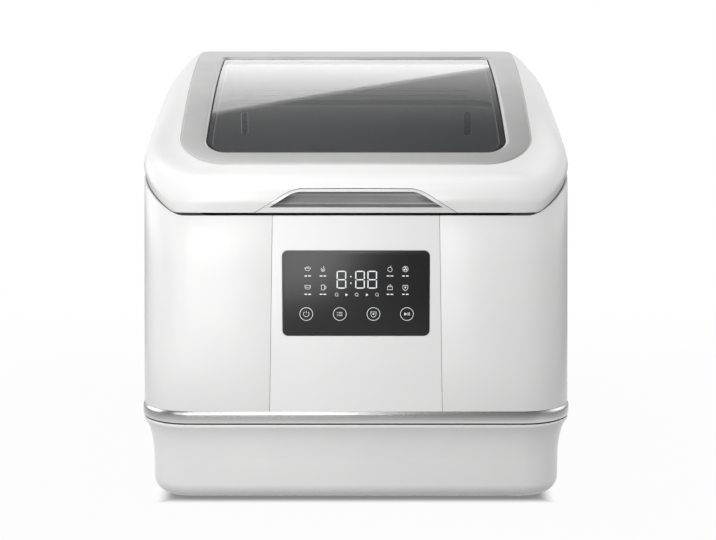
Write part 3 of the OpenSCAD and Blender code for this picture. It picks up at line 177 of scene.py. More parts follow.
class Bench:
    """Modelling steps that every sub-assembly uses."""

    @staticmethod
    def clear() -> None:
        """Deselects everything in object mode."""
        if bpy.context.object is not None and bpy.context.object.mode != "OBJECT":
            bpy.ops.object.mode_set(mode="OBJECT")
        bpy.ops.object.select_all(action="DESELECT")

    @staticmethod
    def take(piece: bpy.types.Object) -> bpy.types.Object:
        """Makes a piece the only one selected, and active."""
        Bench.clear()
        piece.select_set(True)
        bpy.context.view_layer.objects.active = piece
        return piece

    @staticmethod
    def named(name: str) -> bpy.types.Object:
        """Names the active object and its mesh."""
        piece = bpy.context.object
        piece.name = name
        piece.data.name = name
        return piece

    @staticmethod
    def settle(piece: bpy.types.Object) -> bpy.types.Object:
        """Moves a piece's place into its mesh, so that the object sits at the origin."""
        Bench.take(piece)
        bpy.ops.object.transform_apply(location=True, rotation=True, scale=True)
        return piece

    @staticmethod
    @contextmanager
    def editing(piece: bpy.types.Object) -> Iterator[None]:
        """Opens a piece's mesh with all of it selected, and closes it again.

        Args:
            piece: The mesh object.
        """
        Bench.take(piece)
        bpy.ops.object.mode_set(mode="EDIT")
        bpy.ops.mesh.select_all(action="SELECT")
        yield
        bpy.ops.object.mode_set(mode="OBJECT")

    @staticmethod
    def tidy(piece: bpy.types.Object, weld: float = 1e-6) -> bpy.types.Object:
        """Merges doubles and turns the faces outwards.

        Args:
            piece: The mesh object.
            weld: Distance under which points are merged, in metres.
        Returns:
            The same object.
        """
        with Bench.editing(piece):
            bpy.ops.mesh.remove_doubles(threshold=weld)
            bpy.ops.mesh.normals_make_consistent(inside=False)
        return piece

    @staticmethod
    def smooth(piece: bpy.types.Object, degrees: float = 35.0) -> bpy.types.Object:
        """Shades a piece smooth across edges flatter than an angle."""
        Bench.take(piece)
        bpy.ops.object.shade_smooth_by_angle(angle=math.radians(degrees))
        return piece

    @staticmethod
    def apply(piece: bpy.types.Object, kind: str, **values: object) -> bpy.types.Object:
        """Adds a modifier, sets it and applies it.

        Args:
            piece: The mesh object.
            kind: Blender's modifier type.
            values: Settings of the modifier.
        Returns:
            The same object.
        """
        Bench.take(piece)
        modifier = piece.modifiers.new(kind.lower(), kind)
        for key, value in values.items():
            setattr(modifier, key, value)
        bpy.ops.object.modifier_apply(modifier=modifier.name)
        return piece

    @staticmethod
    def soften(piece: bpy.types.Object, width: float, degrees: float = 50.0,
               segments: int = 2) -> bpy.types.Object:
        """Rounds the sharp edges of a piece.

        Args:
            piece: The mesh object.
            width: Width of the rounding in millimetres.
            degrees: Angle above which an edge is rounded.
            segments: Faces across the rounding.
        Returns:
            The same object.
        """
        return Bench.apply(piece, "BEVEL", width=width * MM, segments=segments, limit_method="ANGLE",
                           angle_limit=math.radians(degrees), harden_normals=False)

    @staticmethod
    def carve(piece: bpy.types.Object, cutter: bpy.types.Object, mode: str = "DIFFERENCE") -> bpy.types.Object:
        """Cuts one piece with another, which is then removed."""
        Bench.apply(piece, "BOOLEAN", object=cutter, operation=mode, solver="EXACT")
        bpy.data.objects.remove(cutter, do_unlink=True)
        return piece

    @staticmethod
    def join(pieces: Sequence[bpy.types.Object], name: str) -> bpy.types.Object:
        """Joins pieces into one named object.

        Args:
            pieces: The objects, of which the first stays active.
            name: The joined object's name.
        Returns:
            The joined object.
        """
        Bench.clear()
        for piece in pieces:
            piece.select_set(True)
        bpy.context.view_layer.objects.active = pieces[0]
        bpy.ops.object.join()
        return Bench.named(name)

    @staticmethod
    def sheet(name: str, loops: Sequence[Loop], around: bool, across: bool) -> bpy.types.Object:
        """Shapes a grid primitive along section loops.

        Args:
            name: The piece's name.
            loops: Section loops of equal length, in millimetres.
            around: Whether the last loop joins the first.
            across: Whether each loop closes on itself.
        Returns:
            The new object, welded and with its faces outwards.
        """
        rows = list(loops) + ([loops[0]] if around else [])
        cols = [list(row) + ([row[0]] if across else []) for row in rows]
        Bench.clear()
        bpy.ops.mesh.primitive_grid_add(x_subdivisions=len(cols[0]) - 1, y_subdivisions=len(cols) - 1, size=1)
        piece = Bench.named(name)
        flat = [c * MM for row in cols for p in row for c in p]
        piece.data.vertices.foreach_set("co", flat)
        piece.data.update()
        piece.matrix_world = Matrix.Identity(4)
        return Bench.tidy(piece)

    @staticmethod
    def cap(piece: bpy.types.Object) -> bpy.types.Object:
        """Fills the open ends of a piece and turns its faces outwards.

        Args:
            piece: The mesh object.
        Returns:
            The same object.
        """
        with Bench.editing(piece):
            bpy.ops.mesh.select_mode(type="EDGE")
            bpy.ops.mesh.select_all(action="DESELECT")
            bpy.ops.mesh.select_non_manifold()
            bpy.ops.mesh.fill_holes(sides=0)
            bpy.ops.mesh.select_all(action="SELECT")
            bpy.ops.mesh.normals_make_consistent(inside=False)
        return piece

    @staticmethod
    def stack(name: str, levels: Sequence[tuple[float, float, float, float]]) -> bpy.types.Object:
        """Solid that is symmetrical about X = 0, from its levels.

        Args:
            name: The piece's name.
            levels: Height, half width, front and back of each level, in millimetres.
        Returns:
            The new object.
        """
        loops = [[(-half, y0, z), (half, y0, z), (half, y1, z), (-half, y1, z)] for z, half, y0, y1 in levels]
        return Bench.cap(Bench.sheet(name, loops, around=False, across=True))

    @staticmethod
    def ring(name: str, half_loops: Sequence[Loop]) -> bpy.types.Object:
        """Closed ring from the section loops of its right half."""
        mirrored = [[(-x, y, z) for x, y, z in loop] for loop in reversed(half_loops[1:-1])]
        return Bench.sheet(name, list(half_loops) + mirrored, around=True, across=True)

    @staticmethod
    def block(name: str, low: Sequence[float], high: Sequence[float]) -> bpy.types.Object:
        """Box between two corners.

        Args:
            name: The piece's name.
            low: Its lowest corner in millimetres.
            high: Its highest corner in millimetres.
        Returns:
            The new object.
        """
        Bench.clear()
        centre = [(a + b) / 2 * MM for a, b in zip(low, high)]
        bpy.ops.mesh.primitive_cube_add(size=1, location=centre)
        piece = Bench.named(name)
        piece.scale = [(b - a) * MM for a, b in zip(low, high)]
        return Bench.settle(piece)

    @staticmethod
    def copy_node(node: str, name: str, degrees: float = 30.0) -> bpy.types.Object:
        """Welded, smooth-shaded copy of a CAD node's mesh, which stands for the node.

        Args:
            node: The CAD node.
            name: The new piece's name.
            degrees: Angle above which an edge stays sharp.
        Returns:
            The new object.
        """
        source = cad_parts[node]
        piece = bpy.data.objects.new(name, source.data.copy())
        bpy.context.scene.collection.objects.link(piece)
        piece.data.name = name
        piece.data.materials.clear()
        Bench.take(piece)
        if piece.data.has_custom_normals:
            bpy.ops.mesh.customdata_custom_splitnormals_clear()
        with Bench.editing(piece):
            bpy.ops.mesh.remove_doubles(threshold=2e-6)
            bpy.ops.mesh.dissolve_limited(angle_limit=math.radians(0.5))
        Bench.smooth(piece, degrees)
        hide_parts(node)
        return piece


# ------------------------------------------------------------------ finishes


class Nodes:
    """Small helper that adds and links nodes in one tree."""

    def __init__(self, tree: bpy.types.NodeTree) -> None:
        """Wraps a node tree."""
        self.tree = tree

    def add(self, kind: str, **values: object) -> bpy.types.Node:
        """Adds a node and sets its properties and input values.

        Args:
            kind: Blender's node type.
            values: Properties, or inputs when the key is an input's name with underscores for spaces.
        Returns:
            The new node.
        """
        node = self.tree.nodes.new(kind)
        for key, value in values.items():
            label = key.replace("_", " ")
            if label in node.inputs:
                node.inputs[label].default_value = value
            else:
                setattr(node, key, value)
        return node

    def link(self, source: bpy.types.NodeSocket, target: bpy.types.NodeSocket) -> None:
        """Links two sockets."""
        self.tree.links.new(source, target)


class Effects:
    """Shader node groups that several finishes share."""

    OUTPUTS = {"Color": "NodeSocketColor", "Roughness": "NodeSocketFloat", "Height": "NodeSocketFloat"}
    _made: dict[str, bpy.types.NodeTree] = {}

    @classmethod
    def shared(cls, name: str) -> bpy.types.NodeTree:
        """Group that the method of that name builds, made on first use."""
        if name not in cls._made:
            cls._made[name] = getattr(cls, name)()
        return cls._made[name]

    @staticmethod
    def _group(name: str, inputs: dict[str, object], outputs: dict[str, str]) -> bpy.types.NodeTree:
        """Makes an empty group with named sockets.

        Args:
            name: The group's name.
            inputs: Socket name to default value; a tuple makes a colour.
            outputs: Socket name to socket type.
        Returns:
            The new node tree.
        """
        tree = bpy.data.node_groups.new(name, "ShaderNodeTree")
        for key, value in inputs.items():
            kind = "NodeSocketColor" if isinstance(value, tuple) else "NodeSocketFloat"
            socket = tree.interface.new_socket(key, in_out="INPUT", socket_type=kind)
            socket.default_value = value
        for key, kind in outputs.items():
            tree.interface.new_socket(key, in_out="OUTPUT", socket_type=kind)
        return tree

    @staticmethod
    def _vary(n: Nodes, given: bpy.types.Node, out: bpy.types.Node, tone: bpy.types.NodeSocket,
              noise: bpy.types.NodeSocket) -> None:
        """Blends the group's two tints by a tone, and its gloss by a noise.

        Args:
            n: The group's nodes.
            given: The group's input node.
            out: The group's output node.
            tone: Share of the second tint.
            noise: Share of the gloss's spread.
        """
        tint = n.add("ShaderNodeMix", data_type="RGBA")
        n.link(tone, tint.inputs["Factor"])
        n.link(given.outputs["Base"], tint.inputs[6])
        n.link(given.outputs["Shade"], tint.inputs[7])
        n.link(tint.outputs[2], out.inputs["Color"])
        rough = n.add("ShaderNodeMath", operation="MULTIPLY_ADD")
        n.link(noise, rough.inputs[0])
        n.link(given.outputs["Gloss spread"], rough.inputs[1])
        n.link(given.outputs["Gloss"], rough.inputs[2])
        n.link(rough.outputs[0], out.inputs["Roughness"])

    @staticmethod
    def moulded() -> bpy.types.NodeTree:
        """Moulded surface: faint cloudiness of colour and gloss, with a fine grain.

        Returns:
            The group, with outputs Color, Roughness and Height.
        """
        tree = Effects._group("moulded_surface",
                              {"Base": (0.8, 0.8, 0.8, 1.0), "Shade": (0.7, 0.7, 0.7, 1.0), "Gloss": 0.25,
                               "Gloss spread": 0.05, "Grain": 0.5, "Grain scale": 900.0, "Cloud scale": 14.0},
                              Effects.OUTPUTS)
        n = Nodes(tree)
        given = n.add("NodeGroupInput")
        out = n.add("NodeGroupOutput")
        place = n.add("ShaderNodeTexCoord")
        cloud = n.add("ShaderNodeTexNoise", Detail=3.0, Roughness=0.55)
        grain = n.add("ShaderNodeTexNoise", Detail=2.0, Roughness=0.5)
        for texture, scale in ((cloud, "Cloud scale"), (grain, "Grain scale")):
            n.link(place.outputs["Object"], texture.inputs["Vector"])
            n.link(given.outputs[scale], texture.inputs["Scale"])
        spread = n.add("ShaderNodeMapRange", From_Min=0.35, From_Max=0.7)
        n.link(cloud.outputs["Fac"], spread.inputs["Value"])
        Effects._vary(n, given, out, spread.outputs["Result"], cloud.outputs["Fac"])
        height = n.add("ShaderNodeMath", operation="MULTIPLY")
        n.link(grain.outputs["Fac"], height.inputs[0])
        n.link(given.outputs["Grain"], height.inputs[1])
        n.link(height.outputs[0], out.inputs["Height"])
        return tree

    @staticmethod
    def brushed() -> bpy.types.NodeTree:
        """Brushed metal: streaks along one axis, in colour, gloss and height.

        Returns:
            The group, with outputs Color, Roughness and Height.
        """
        tree = Effects._group("brushed_streaks",
                              {"Base": (0.7, 0.7, 0.7, 1.0), "Shade": (0.6, 0.6, 0.6, 1.0), "Stretch X": 1.0,
                               "Stretch Y": 60.0, "Stretch Z": 60.0, "Scale": 20.0, "Gloss": 0.3,
                               "Gloss spread": 0.1},
                              Effects.OUTPUTS)
        n = Nodes(tree)
        given = n.add("NodeGroupInput")
        out = n.add("NodeGroupOutput")
        place = n.add("ShaderNodeTexCoord")
        stretch = n.add("ShaderNodeCombineXYZ")
        for axis in "XYZ":
            n.link(given.outputs[f"Stretch {axis}"], stretch.inputs[axis])
        scaled = n.add("ShaderNodeVectorMath", operation="MULTIPLY")
        n.link(place.outputs["Object"], scaled.inputs[0])
        n.link(stretch.outputs[0], scaled.inputs[1])
        streak = n.add("ShaderNodeTexNoise", Detail=4.0, Roughness=0.6)
        n.link(scaled.outputs[0], streak.inputs["Vector"])
        n.link(given.outputs["Scale"], streak.inputs["Scale"])
        Effects._vary(n, given, out, streak.outputs["Fac"], streak.outputs["Fac"])
        n.link(streak.outputs["Fac"], out.inputs["Height"])
        return tree


@dataclass(frozen=True)
class Finish:
    """One material: a Principled surface fed by a shared effect."""

    name: str
    base: tuple[float, float, float]
    shade: tuple[float, float, float]
    gloss: float = 0.3
    gloss_spread: float = 0.06
    metallic: float = 0.0
    coat: float = 0.0
    specular: float = 0.5
    grain: float = 0.5
    grain_scale: float = 900.0
    cloud_scale: float = 14.0
    bump: float = 0.02
    brushed: tuple[float, float, float] | None = None
    alpha: float = 1.0
    glow: float = 0.0

    COAT_ROUGHNESS = 0.06
    BUMP_REACH = 0.0004

    def make(self) -> bpy.types.Material:
        """Builds the material on first use.

        Returns:
            The material.
        """
        found = bpy.data.materials.get(self.name)
        if found is not None:
            return found
        material = bpy.data.materials.new(self.name)
        material.use_nodes = True
        n = Nodes(material.node_tree)
        shader = material.node_tree.nodes["Principled BSDF"]
        fixed = {"Metallic": self.metallic, "Coat Weight": self.coat, "Coat Roughness": self.COAT_ROUGHNESS,
                 "Specular IOR Level": self.specular, "Alpha": self.alpha}
        given = {"Base": (*self.base, 1.0), "Shade": (*self.shade, 1.0), "Gloss": self.gloss,
                 "Gloss spread": self.gloss_spread}
        if self.brushed:
            given |= {f"Stretch {axis}": value for axis, value in zip("XYZ", self.brushed)}
        else:
            given |= {"Grain": self.grain, "Grain scale": self.grain_scale, "Cloud scale": self.cloud_scale}
        effect = n.add("ShaderNodeGroup", node_tree=Effects.shared("brushed" if self.brushed else "moulded"))
        for node, values in ((shader, fixed), (effect, given)):
            for label, value in values.items():
                node.inputs[label].default_value = value
        n.link(effect.outputs["Color"], shader.inputs["Base Color"])
        n.link(effect.outputs["Roughness"], shader.inputs["Roughness"])
        # Glow lights the colour as emission: painted light on a part that is no lamp.
        if self.glow > 0:
            n.link(effect.outputs["Color"], shader.inputs["Emission Color"])
            shader.inputs["Emission Strength"].default_value = self.glow
        bump = n.add("ShaderNodeBump", Strength=self.bump, Distance=self.BUMP_REACH)
        n.link(effect.outputs["Height"], bump.inputs["Height"])
        n.link(bump.outputs["Normal"], shader.inputs["Normal"])
        return material


class Skin(Enum):
    """The finishes of the machine."""

    WHITE = Finish("gloss_white_moulding", (0.86, 0.86, 0.855), (0.84, 0.84, 0.838), gloss=0.26,
                   gloss_spread=0.06, coat=0.1, grain=0.3, bump=0.015)
    SILVER = Finish("satin_silver", (0.69, 0.69, 0.686), (0.63, 0.63, 0.628), gloss=0.32, gloss_spread=0.06,
                    metallic=0.6, grain=0.4, grain_scale=1600.0, bump=0.03)
    BAND = Finish("satin_chrome", (0.66, 0.66, 0.655), (0.58, 0.58, 0.578), gloss=0.22, gloss_spread=0.08,
                  metallic=1.0, brushed=(1.0, 1.0, 60.0), bump=0.02)
    CONTROL = Finish("black_control_glass", (0.006, 0.006, 0.007), (0.010, 0.010, 0.011), gloss=0.30,
                     gloss_spread=0.03, coat=0.05, specular=0.6, grain=0.1, bump=0.004)
    # Light grey rim round the control glass: a painted highlight of its bevelled edge.
    CONTROL_EDGE = Finish("glass_edge_painted_highlight", (0.30, 0.30, 0.31), (0.24, 0.24, 0.25), gloss=0.15, coat=0.6)
    # Light grey print, with a glow that is painted light: the marks are no lamp.
    MARK = Finish("light_grey_print_painted_glow", (0.80, 0.81, 0.82), (0.74, 0.75, 0.76), gloss=0.4, glow=0.25)
    WINDOW = Finish("smoked_window", (0.035, 0.037, 0.040), (0.030, 0.032, 0.035), gloss=0.03,
                    gloss_spread=0.02, coat=1.0, specular=0.9, grain=0.1, bump=0.0015, alpha=0.44)
    SEAL = Finish("black_seal", (0.02, 0.02, 0.02), (0.03, 0.03, 0.03), gloss=0.6, grain=0.8, bump=0.06)
    TUB = Finish("tub_moulding", (0.46, 0.465, 0.47), (0.42, 0.425, 0.43), gloss=0.35, grain=0.6, bump=0.04)
    PALE = Finish("pale_moulding", (0.62, 0.62, 0.615), (0.57, 0.57, 0.566), gloss=0.42, grain=0.8, bump=0.05)
    MID = Finish("grey_moulding", (0.20, 0.205, 0.21), (0.165, 0.17, 0.175), gloss=0.45, grain=0.9, bump=0.06)
    DARK = Finish("black_moulding", (0.028, 0.028, 0.030), (0.040, 0.040, 0.042), gloss=0.48, grain=0.9,
                  bump=0.07)
    GRIP = Finish("pearl_grip", (0.80, 0.80, 0.797), (0.75, 0.75, 0.748), gloss=0.28, metallic=0.15, grain=0.4)
    # Recess finish: satin grey, darkened further as painted shade of the finger recess.
    CUP = Finish("satin_grey_recess_painted_shade", (0.30, 0.30, 0.30), (0.25, 0.25, 0.25), gloss=0.36, metallic=0.4,
                 grain=0.4)
    STEEL = Finish("brushed_steel", (0.60, 0.60, 0.605), (0.48, 0.48, 0.485), gloss=0.26, gloss_spread=0.14,
                   metallic=1.0, brushed=(1.0, 40.0, 40.0), bump=0.03)
    WIRE = Finish("coated_wire", (0.74, 0.74, 0.735), (0.68, 0.68, 0.675), gloss=0.3, grain=0.5, bump=0.03)
    RUBBER = Finish("soft_rubber", (0.030, 0.030, 0.031), (0.045, 0.045, 0.046), gloss=0.7, grain=1.0,
                    bump=0.1)
    BOARD = Finish("circuit_board", (0.015, 0.10, 0.05), (0.03, 0.14, 0.07), gloss=0.4, cloud_scale=120.0)

    def dress(self, piece: bpy.types.Object) -> bpy.types.Object:
        """Gives a piece this finish on all its faces."""
        piece.data.materials.clear()
        piece.data.materials.append(self.value.make())
        return piece


# ------------------------------------------------------------------ sub-assemblies


@dataclass
class Assembly:
    """A group of pieces that ride on one body."""

    body: str
    pieces: list[bpy.types.Object] = field(default_factory=list)

    def keep(self, piece: bpy.types.Object, skin: Skin, slot: str, *nodes: str) -> bpy.types.Object:
        """Dresses a piece, sets it on the body and reports it.

        Args:
            piece: The finished mesh.
            skin: Its finish.
            slot: The record's material slot; not used.
            nodes: CAD nodes that the piece stands for.
        Returns:
            The same object.
        """
        skin.dress(piece)
        if nodes:
            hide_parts(*nodes)
        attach(piece, self.body)
        self.pieces.append(piece)
        LOG.info("%s: %d faces on %s", piece.name, len(piece.data.polygons), self.body)
        return piece


@dataclass
class Body(Assembly):
    """Base tray, trim band and the body's outer panels."""

    body: str = "casing"
    inset: float = 10.5
    fillet: float = 16.0
    fillet_steps: int = 12
    rim: float = 2.5
    rim_inset: float = 0.9
    flare_h: float = 40.0
    flare_run: float = 14.0
    flare_steps: int = 18
    shoulder: float = 12.0
    least_r: float = 6.0
    shadow_gap: float = 1.3
    gap: float = 0.3
    wall_steps: int = 4
    edge_round: float = 0.5

    # Set-back and drop below the top, over the tray's rounded rim.
    RIM = ((0.75, 1.6), (0.8, 0.9), (1.1, 0.3), (1.9, 0.0))
    # Set-back and rise above the band's foot, then set-back and drop below its head.
    BAND_FOOT = ((2.2, 0.0), (0.9, 0.2), (0.35, 0.8), (0.1, 1.7), (0.0, 3.0))
    BAND_HEAD = ((0.0, 3.4), (0.25, 2.0), (0.7, 0.8))
    # Set-backs of the band's inner foot, below and above the joint, and of the two faces of the dark strip
    # that paints shade into the gap.
    BAND_TOE = (3.2, 3.0)
    SHADE_STRIP_INSETS = (1.7, 2.6)

    def level(self, inset: float, z: float) -> Loop:
        """Half section of the tray at one height, set in from the casing's outline."""
        plan = Plan(FORM.band_half - inset, FORM.face_y + inset, FORM.rear_y - inset,
                    FORM.corner_r - inset, FORM.rear_r - min(inset, FORM.rear_r - self.least_r))
        return [(x, y, z) for x, y in plan.points()]

    def profile(self) -> list[tuple[float, float]]:
        """Side profile of the tray wall, from the floor outside up over the rim and down inside.

        Returns:
            Points (inset, z) in millimetres.
        """
        z0, z1, wall = FORM.base_z0, FORM.base_z1, FORM.wall
        pts = []
        for i in range(self.fillet_steps + 1):
            a = math.radians(90 * i / self.fillet_steps)
            pts.append((self.inset + self.fillet * (1 - math.sin(a)), z0 + self.fillet * (1 - math.cos(a))))
        for i in range(self.flare_steps + 1):
            z = z1 - self.flare_h + (self.flare_h - self.rim) * i / self.flare_steps
            pts.append((self.flare(z), z))
        pts += [(inset, z1 - drop) for inset, drop in self.RIM] + [(self.rim_inset + wall, z1)]
        pts += [(self.flare(z1 - drop) + wall, z1 - drop) for drop in (self.rim, self.shoulder)]
        pts += [(self.inset + wall, z1 - self.flare_h), (self.inset + wall, z0 + self.fillet),
                (self.inset + wall + self.fillet / 2, z0 + wall + 1)]
        return pts

    def flare(self, z: float) -> float:
        """Set-back of the tray wall at height z: quick under the rim, then fading out."""
        deep = FORM.base_z1 - self.rim - z
        full = 1 - math.exp(-(self.flare_h - self.rim) / self.flare_run)
        return mix(self.rim_inset, self.inset, (1 - math.exp(-deep / self.flare_run)) / full)

    def tray(self) -> None:
        """Base tray with its cove and rounded foot, closed underneath."""
        profile = self.profile()
        stack = [self.level(inset, z) for inset, z in profile]
        rings = [loop + [(-x, y, z) for x, y, z in reversed(loop[1:-1])] for loop in stack]
        piece = Bench.sheet("base_shell", rings, around=False, across=True)
        Bench.cap(piece)
        Bench.smooth(piece, 40)
        self.keep(piece, Skin.WHITE, "white_plastic", "base_tray")

    def band(self) -> None:
        """Trim band all round between the tray and the panels."""
        z0, z1, p, wall = FORM.base_z1 + self.shadow_gap, FORM.band_z1, FORM.proud, FORM.wall
        section = [(q, z0 + up) for q, up in self.BAND_FOOT] + [(q, z1 - down) for q, down in self.BAND_HEAD]
        section += [(p, z1), (p + wall, z1), (p + wall, z0 - self.shadow_gap),
                    (self.BAND_TOE[0], z0 - self.shadow_gap), (self.BAND_TOE[1], z0)]
        self.keep(self.hoop("trim_strip", section), Skin.BAND, "silver_trim", "trim_band")
        # A dark strip set in the gap paints the gap's shade.
        self.gasket(FORM.base_z1 + 0.1, z0 - 0.1)

    def hoop(self, name: str, section: Sequence[tuple[float, float]]) -> bpy.types.Object:
        """Ring round the casing's outline with one section all the way.

        Args:
            name: The piece's name.
            section: Points (set-back from the outline, height) in millimetres.
        Returns:
            The new object.
        """
        plans = [Plan(FORM.band_half - q, FORM.face_y + q, FORM.rear_y - q, FORM.corner_r - q, FORM.rear_r - q)
                 .points() for q, _ in section]
        loops = [[(*plans[k][i], section[k][1]) for k in range(len(section))] for i in range(len(plans[0]))]
        return Bench.smooth(Bench.ring(name, loops), 40)

    def gasket(self, z0: float, z1: float) -> None:
        """Dark strip in the gap between the tray and the trim band: painted shade that darkens the gap line.

        Args:
            z0: Height of its foot.
            z1: Height of its head.
        """
        out, deep = self.SHADE_STRIP_INSETS
        section = [(out, z0), (out, z1), (deep, z1), (deep, z0)]
        self.keep(self.hoop("trim_gap_shade_strip", section), Skin.SEAL, "rubber_part")

    def wall_line(self, z: float, inset: float) -> list[tuple[float, float]]:
        """Right-hand wall seen from above, from its front joint to its rear joint.

        Args:
            z: The height.
            inset: Distance inside the outer face.
        Returns:
            Points (x, y) in millimetres.
        """
        pts = Plan(FORM.half(z) - inset, FORM.front(z) + inset, FORM.rear_y - inset, FORM.corner_r - inset,
                   FORM.rear_r - inset).points()
        joint = mix(FORM.front_foot, FORM.front_head, (z - FORM.band_z1) / FORM.panel_h) + self.gap
        rear = FORM.band_half - FORM.rear_r + 1
        return [(joint, pts[0][1])] + pts[1:-1] + [(rear, pts[-1][1])]

    def side(self, name: str, node: str, sign: int) -> None:
        """One wrap-round side panel.

        Args:
            name: The piece's name.
            node: The CAD node that it stands for.
            sign: 1 for the right side, -1 for the left.
        """
        edge = self.wall_line(FORM.edge_z, 0)
        shares = [k / self.wall_steps for k in range(self.wall_steps + 1)]
        loops = []
        for i, (_, y) in enumerate(edge):
            top = FORM.seam(y)
            low_out, low_in = self.wall_line(FORM.band_z1, 0)[i], self.wall_line(FORM.band_z1, FORM.wall)[i]
            top_out, top_in = self.wall_line(top, 0)[i], self.wall_line(top, FORM.wall)[i]
            outer = [(sign * mix(low_out[0], top_out[0], t), mix(low_out[1], top_out[1], t),
                      mix(FORM.band_z1, top, t)) for t in shares]
            inner = [(sign * top_in[0], top_in[1], top), (sign * low_in[0], low_in[1], FORM.band_z1)]
            loops.append(outer + inner)
        piece = Bench.sheet(name, loops, around=False, across=True)
        Bench.cap(piece)
        Bench.soften(piece, self.edge_round, 60)
        Bench.smooth(piece, 30)
        self.keep(piece, Skin.WHITE, "white_plastic", node)

    def front(self) -> None:
        """Centre panel of the front with its display opening."""
        piece = Bench.copy_node("front_panel", "front_fascia")
        Bench.soften(piece, self.edge_round, 60)
        Bench.smooth(piece, 30)
        self.keep(piece, Skin.WHITE, "white_plastic")

    def build(self) -> None:
        """Makes the body's outer pieces."""
        self.tray()
        self.band()
        self.side("right_cheek", "right_side_panel", 1)
        self.side("left_cheek", "left_side_panel", -1)
        self.front()


class Symbol(Enum):
    """Pictograms on the control glass."""

    POWER = "power"
    LIST = "list"
    SHIELD = "shield"
    PLAY = "play"
    POT = "pot"
    FLAME = "flame"
    BOWL = "bowl"
    JUG = "jug"
    FRUIT = "fruit"
    FAN = "fan"
    BAG = "bag"
    GUARD = "guard"


@dataclass
class Display(Assembly):
    """Black control glass with its printed marks and touch keys."""

    body: str = "casing"
    width: float = 149.0
    height: float = 87.0
    corner: float = 6.0
    proud: float = 0.4
    thick: float = 2.0
    rim: float = 0.22
    rim_drop: float = 0.25
    digit_w: float = 9.7
    digit_h: float = 18.2
    digit_z: float = 14.0
    stroke: float = 1.15
    stroke_gap: float = 0.35
    key_r: float = 6.8
    key_z: float = -21.1
    key_line: float = 0.5
    stage_z: float = -1.2
    stage_r: float = 1.7
    stage_line: float = 0.35
    small: float = 0.95
    fine: float = 0.42
    ink: float = 0.05
    marks: list[bpy.types.Object] = field(default_factory=list)

    # Places on the glass, measured from its middle: across alone where a field above gives the height.
    DIGITS = (-14.7, 4.1, 16.4)
    DOTS = ((-5.2, 17.2), (-5.2, 10.5))
    KEYS = {-50.4: Symbol.POWER, -16.4: Symbol.LIST, 17.7: Symbol.SHIELD, 51.6: Symbol.PLAY}
    COLUMNS = {-48.8: (Symbol.POT, Symbol.BOWL), -33.4: (Symbol.FLAME, Symbol.JUG),
               34.3: (Symbol.FRUIT, Symbol.BAG), 49.9: (Symbol.FAN, Symbol.GUARD)}
    ROWS = (24.8, 6.1)
    STAGES = (-19.6, -9.8, 0.6, 10.9, 21.2)
    # Half spacing, place above the pictogram's middle, width and height of the two label bars.
    LABEL = (1.9, -7.0, 2.9, 1.1)

    def on_face(self, piece: bpy.types.Object) -> bpy.types.Object:
        """Sets a piece made about the origin in the XZ plane onto the leaning front."""
        z = FORM.band_z1 + FORM.display_up
        piece.matrix_world = (Matrix.Translation(Vector((0, FORM.front(z), z)) * MM)
                              @ Matrix.Rotation(-FORM.lean, 4, "X") @ piece.matrix_world)
        return Bench.settle(piece)

    def plate(self, name: str, grow: float, y0: float, y1: float) -> bpy.types.Object:
        """Rounded plate in the XZ plane, shaped from a plane primitive.

        Args:
            name: The piece's name.
            grow: Amount added all round, in millimetres.
            y0: Its front.
            y1: Its back.
        Returns:
            The new object.
        """
        Bench.clear()
        bpy.ops.mesh.primitive_plane_add(size=1, location=(0, y1 * MM, 0), rotation=(math.pi / 2, 0, 0))
        piece = Bench.named(name)
        piece.scale = ((self.width + 2 * grow) * MM, (self.height + 2 * grow) * MM, 1)
        with Bench.editing(Bench.settle(piece)):
            bpy.ops.mesh.bevel(affect="VERTICES", offset=(self.corner + grow) * MM, segments=10)
            bpy.ops.mesh.select_all(action="SELECT")
            bpy.ops.mesh.extrude_region_move(TRANSFORM_OT_translate={"value": (0, (y0 - y1) * MM, 0)})
            bpy.ops.mesh.select_all(action="SELECT")
            bpy.ops.mesh.normals_make_consistent(inside=False)
        return piece

    def glass(self) -> None:
        """Control glass with a thin lighter rim round it, a painted highlight of its edge."""
        piece = self.plate("control_glass", 0, -self.proud, self.thick - self.proud)
        Bench.soften(piece, 0.35, 60, 3)
        Bench.smooth(self.on_face(piece), 30)
        self.keep(piece, Skin.CONTROL, "black_glass", "display_glass")
        rim = self.plate("control_rim", self.rim, -self.proud + self.rim_drop, self.thick - self.proud - 0.5)
        rim = Bench.carve(rim, self.plate("cut", -0.05, -3, 4))
        Bench.smooth(self.on_face(rim), 30)
        self.keep(rim, Skin.CONTROL_EDGE, "black_glass")

    def bar(self, x: float, z: float, w: float, h: float, turn: float = 0.0) -> None:
        """Adds a short printed bar with rounded ends.

        Args:
            x: Centre across.
            z: Centre up.
            w: Width.
            h: Height.
            turn: Clockwise turn in degrees.
        """
        Bench.clear()
        bpy.ops.mesh.primitive_plane_add(size=1, location=(x * MM, 0, z * MM), rotation=(math.pi / 2, 0, 0))
        piece = Bench.named("mark")
        piece.scale = (w * MM, h * MM, 1)
        piece.rotation_euler = (math.pi / 2, math.radians(turn), 0)
        with Bench.editing(Bench.settle(piece)):
            bpy.ops.mesh.bevel(affect="VERTICES", offset=0.45 * min(w, h) * MM, segments=3)
        self.marks.append(piece)

    def ring(self, x: float, z: float, r: float, line: float, start: float = 0.0, sweep: float = 360.0,
             squash: float = 1.0) -> None:
        """Adds a printed ring or arc.

        Args:
            x: Centre across.
            z: Centre up.
            r: Outer radius.
            line: Line width.
            start: First angle in degrees, anticlockwise from the right.
            sweep: Angle covered.
            squash: Height over width.
        """
        steps = max(6, int(36 * sweep / 360))
        loops = []
        for i in range(steps + 1):
            a = math.radians(start + sweep * i / steps)
            loops.append([(x + (r - d) * math.cos(a), 0.0, z + squash * (r - d) * math.sin(a))
                          for d in (0, line)])
        self.marks.append(Bench.sheet("mark", loops, around=False, across=False))

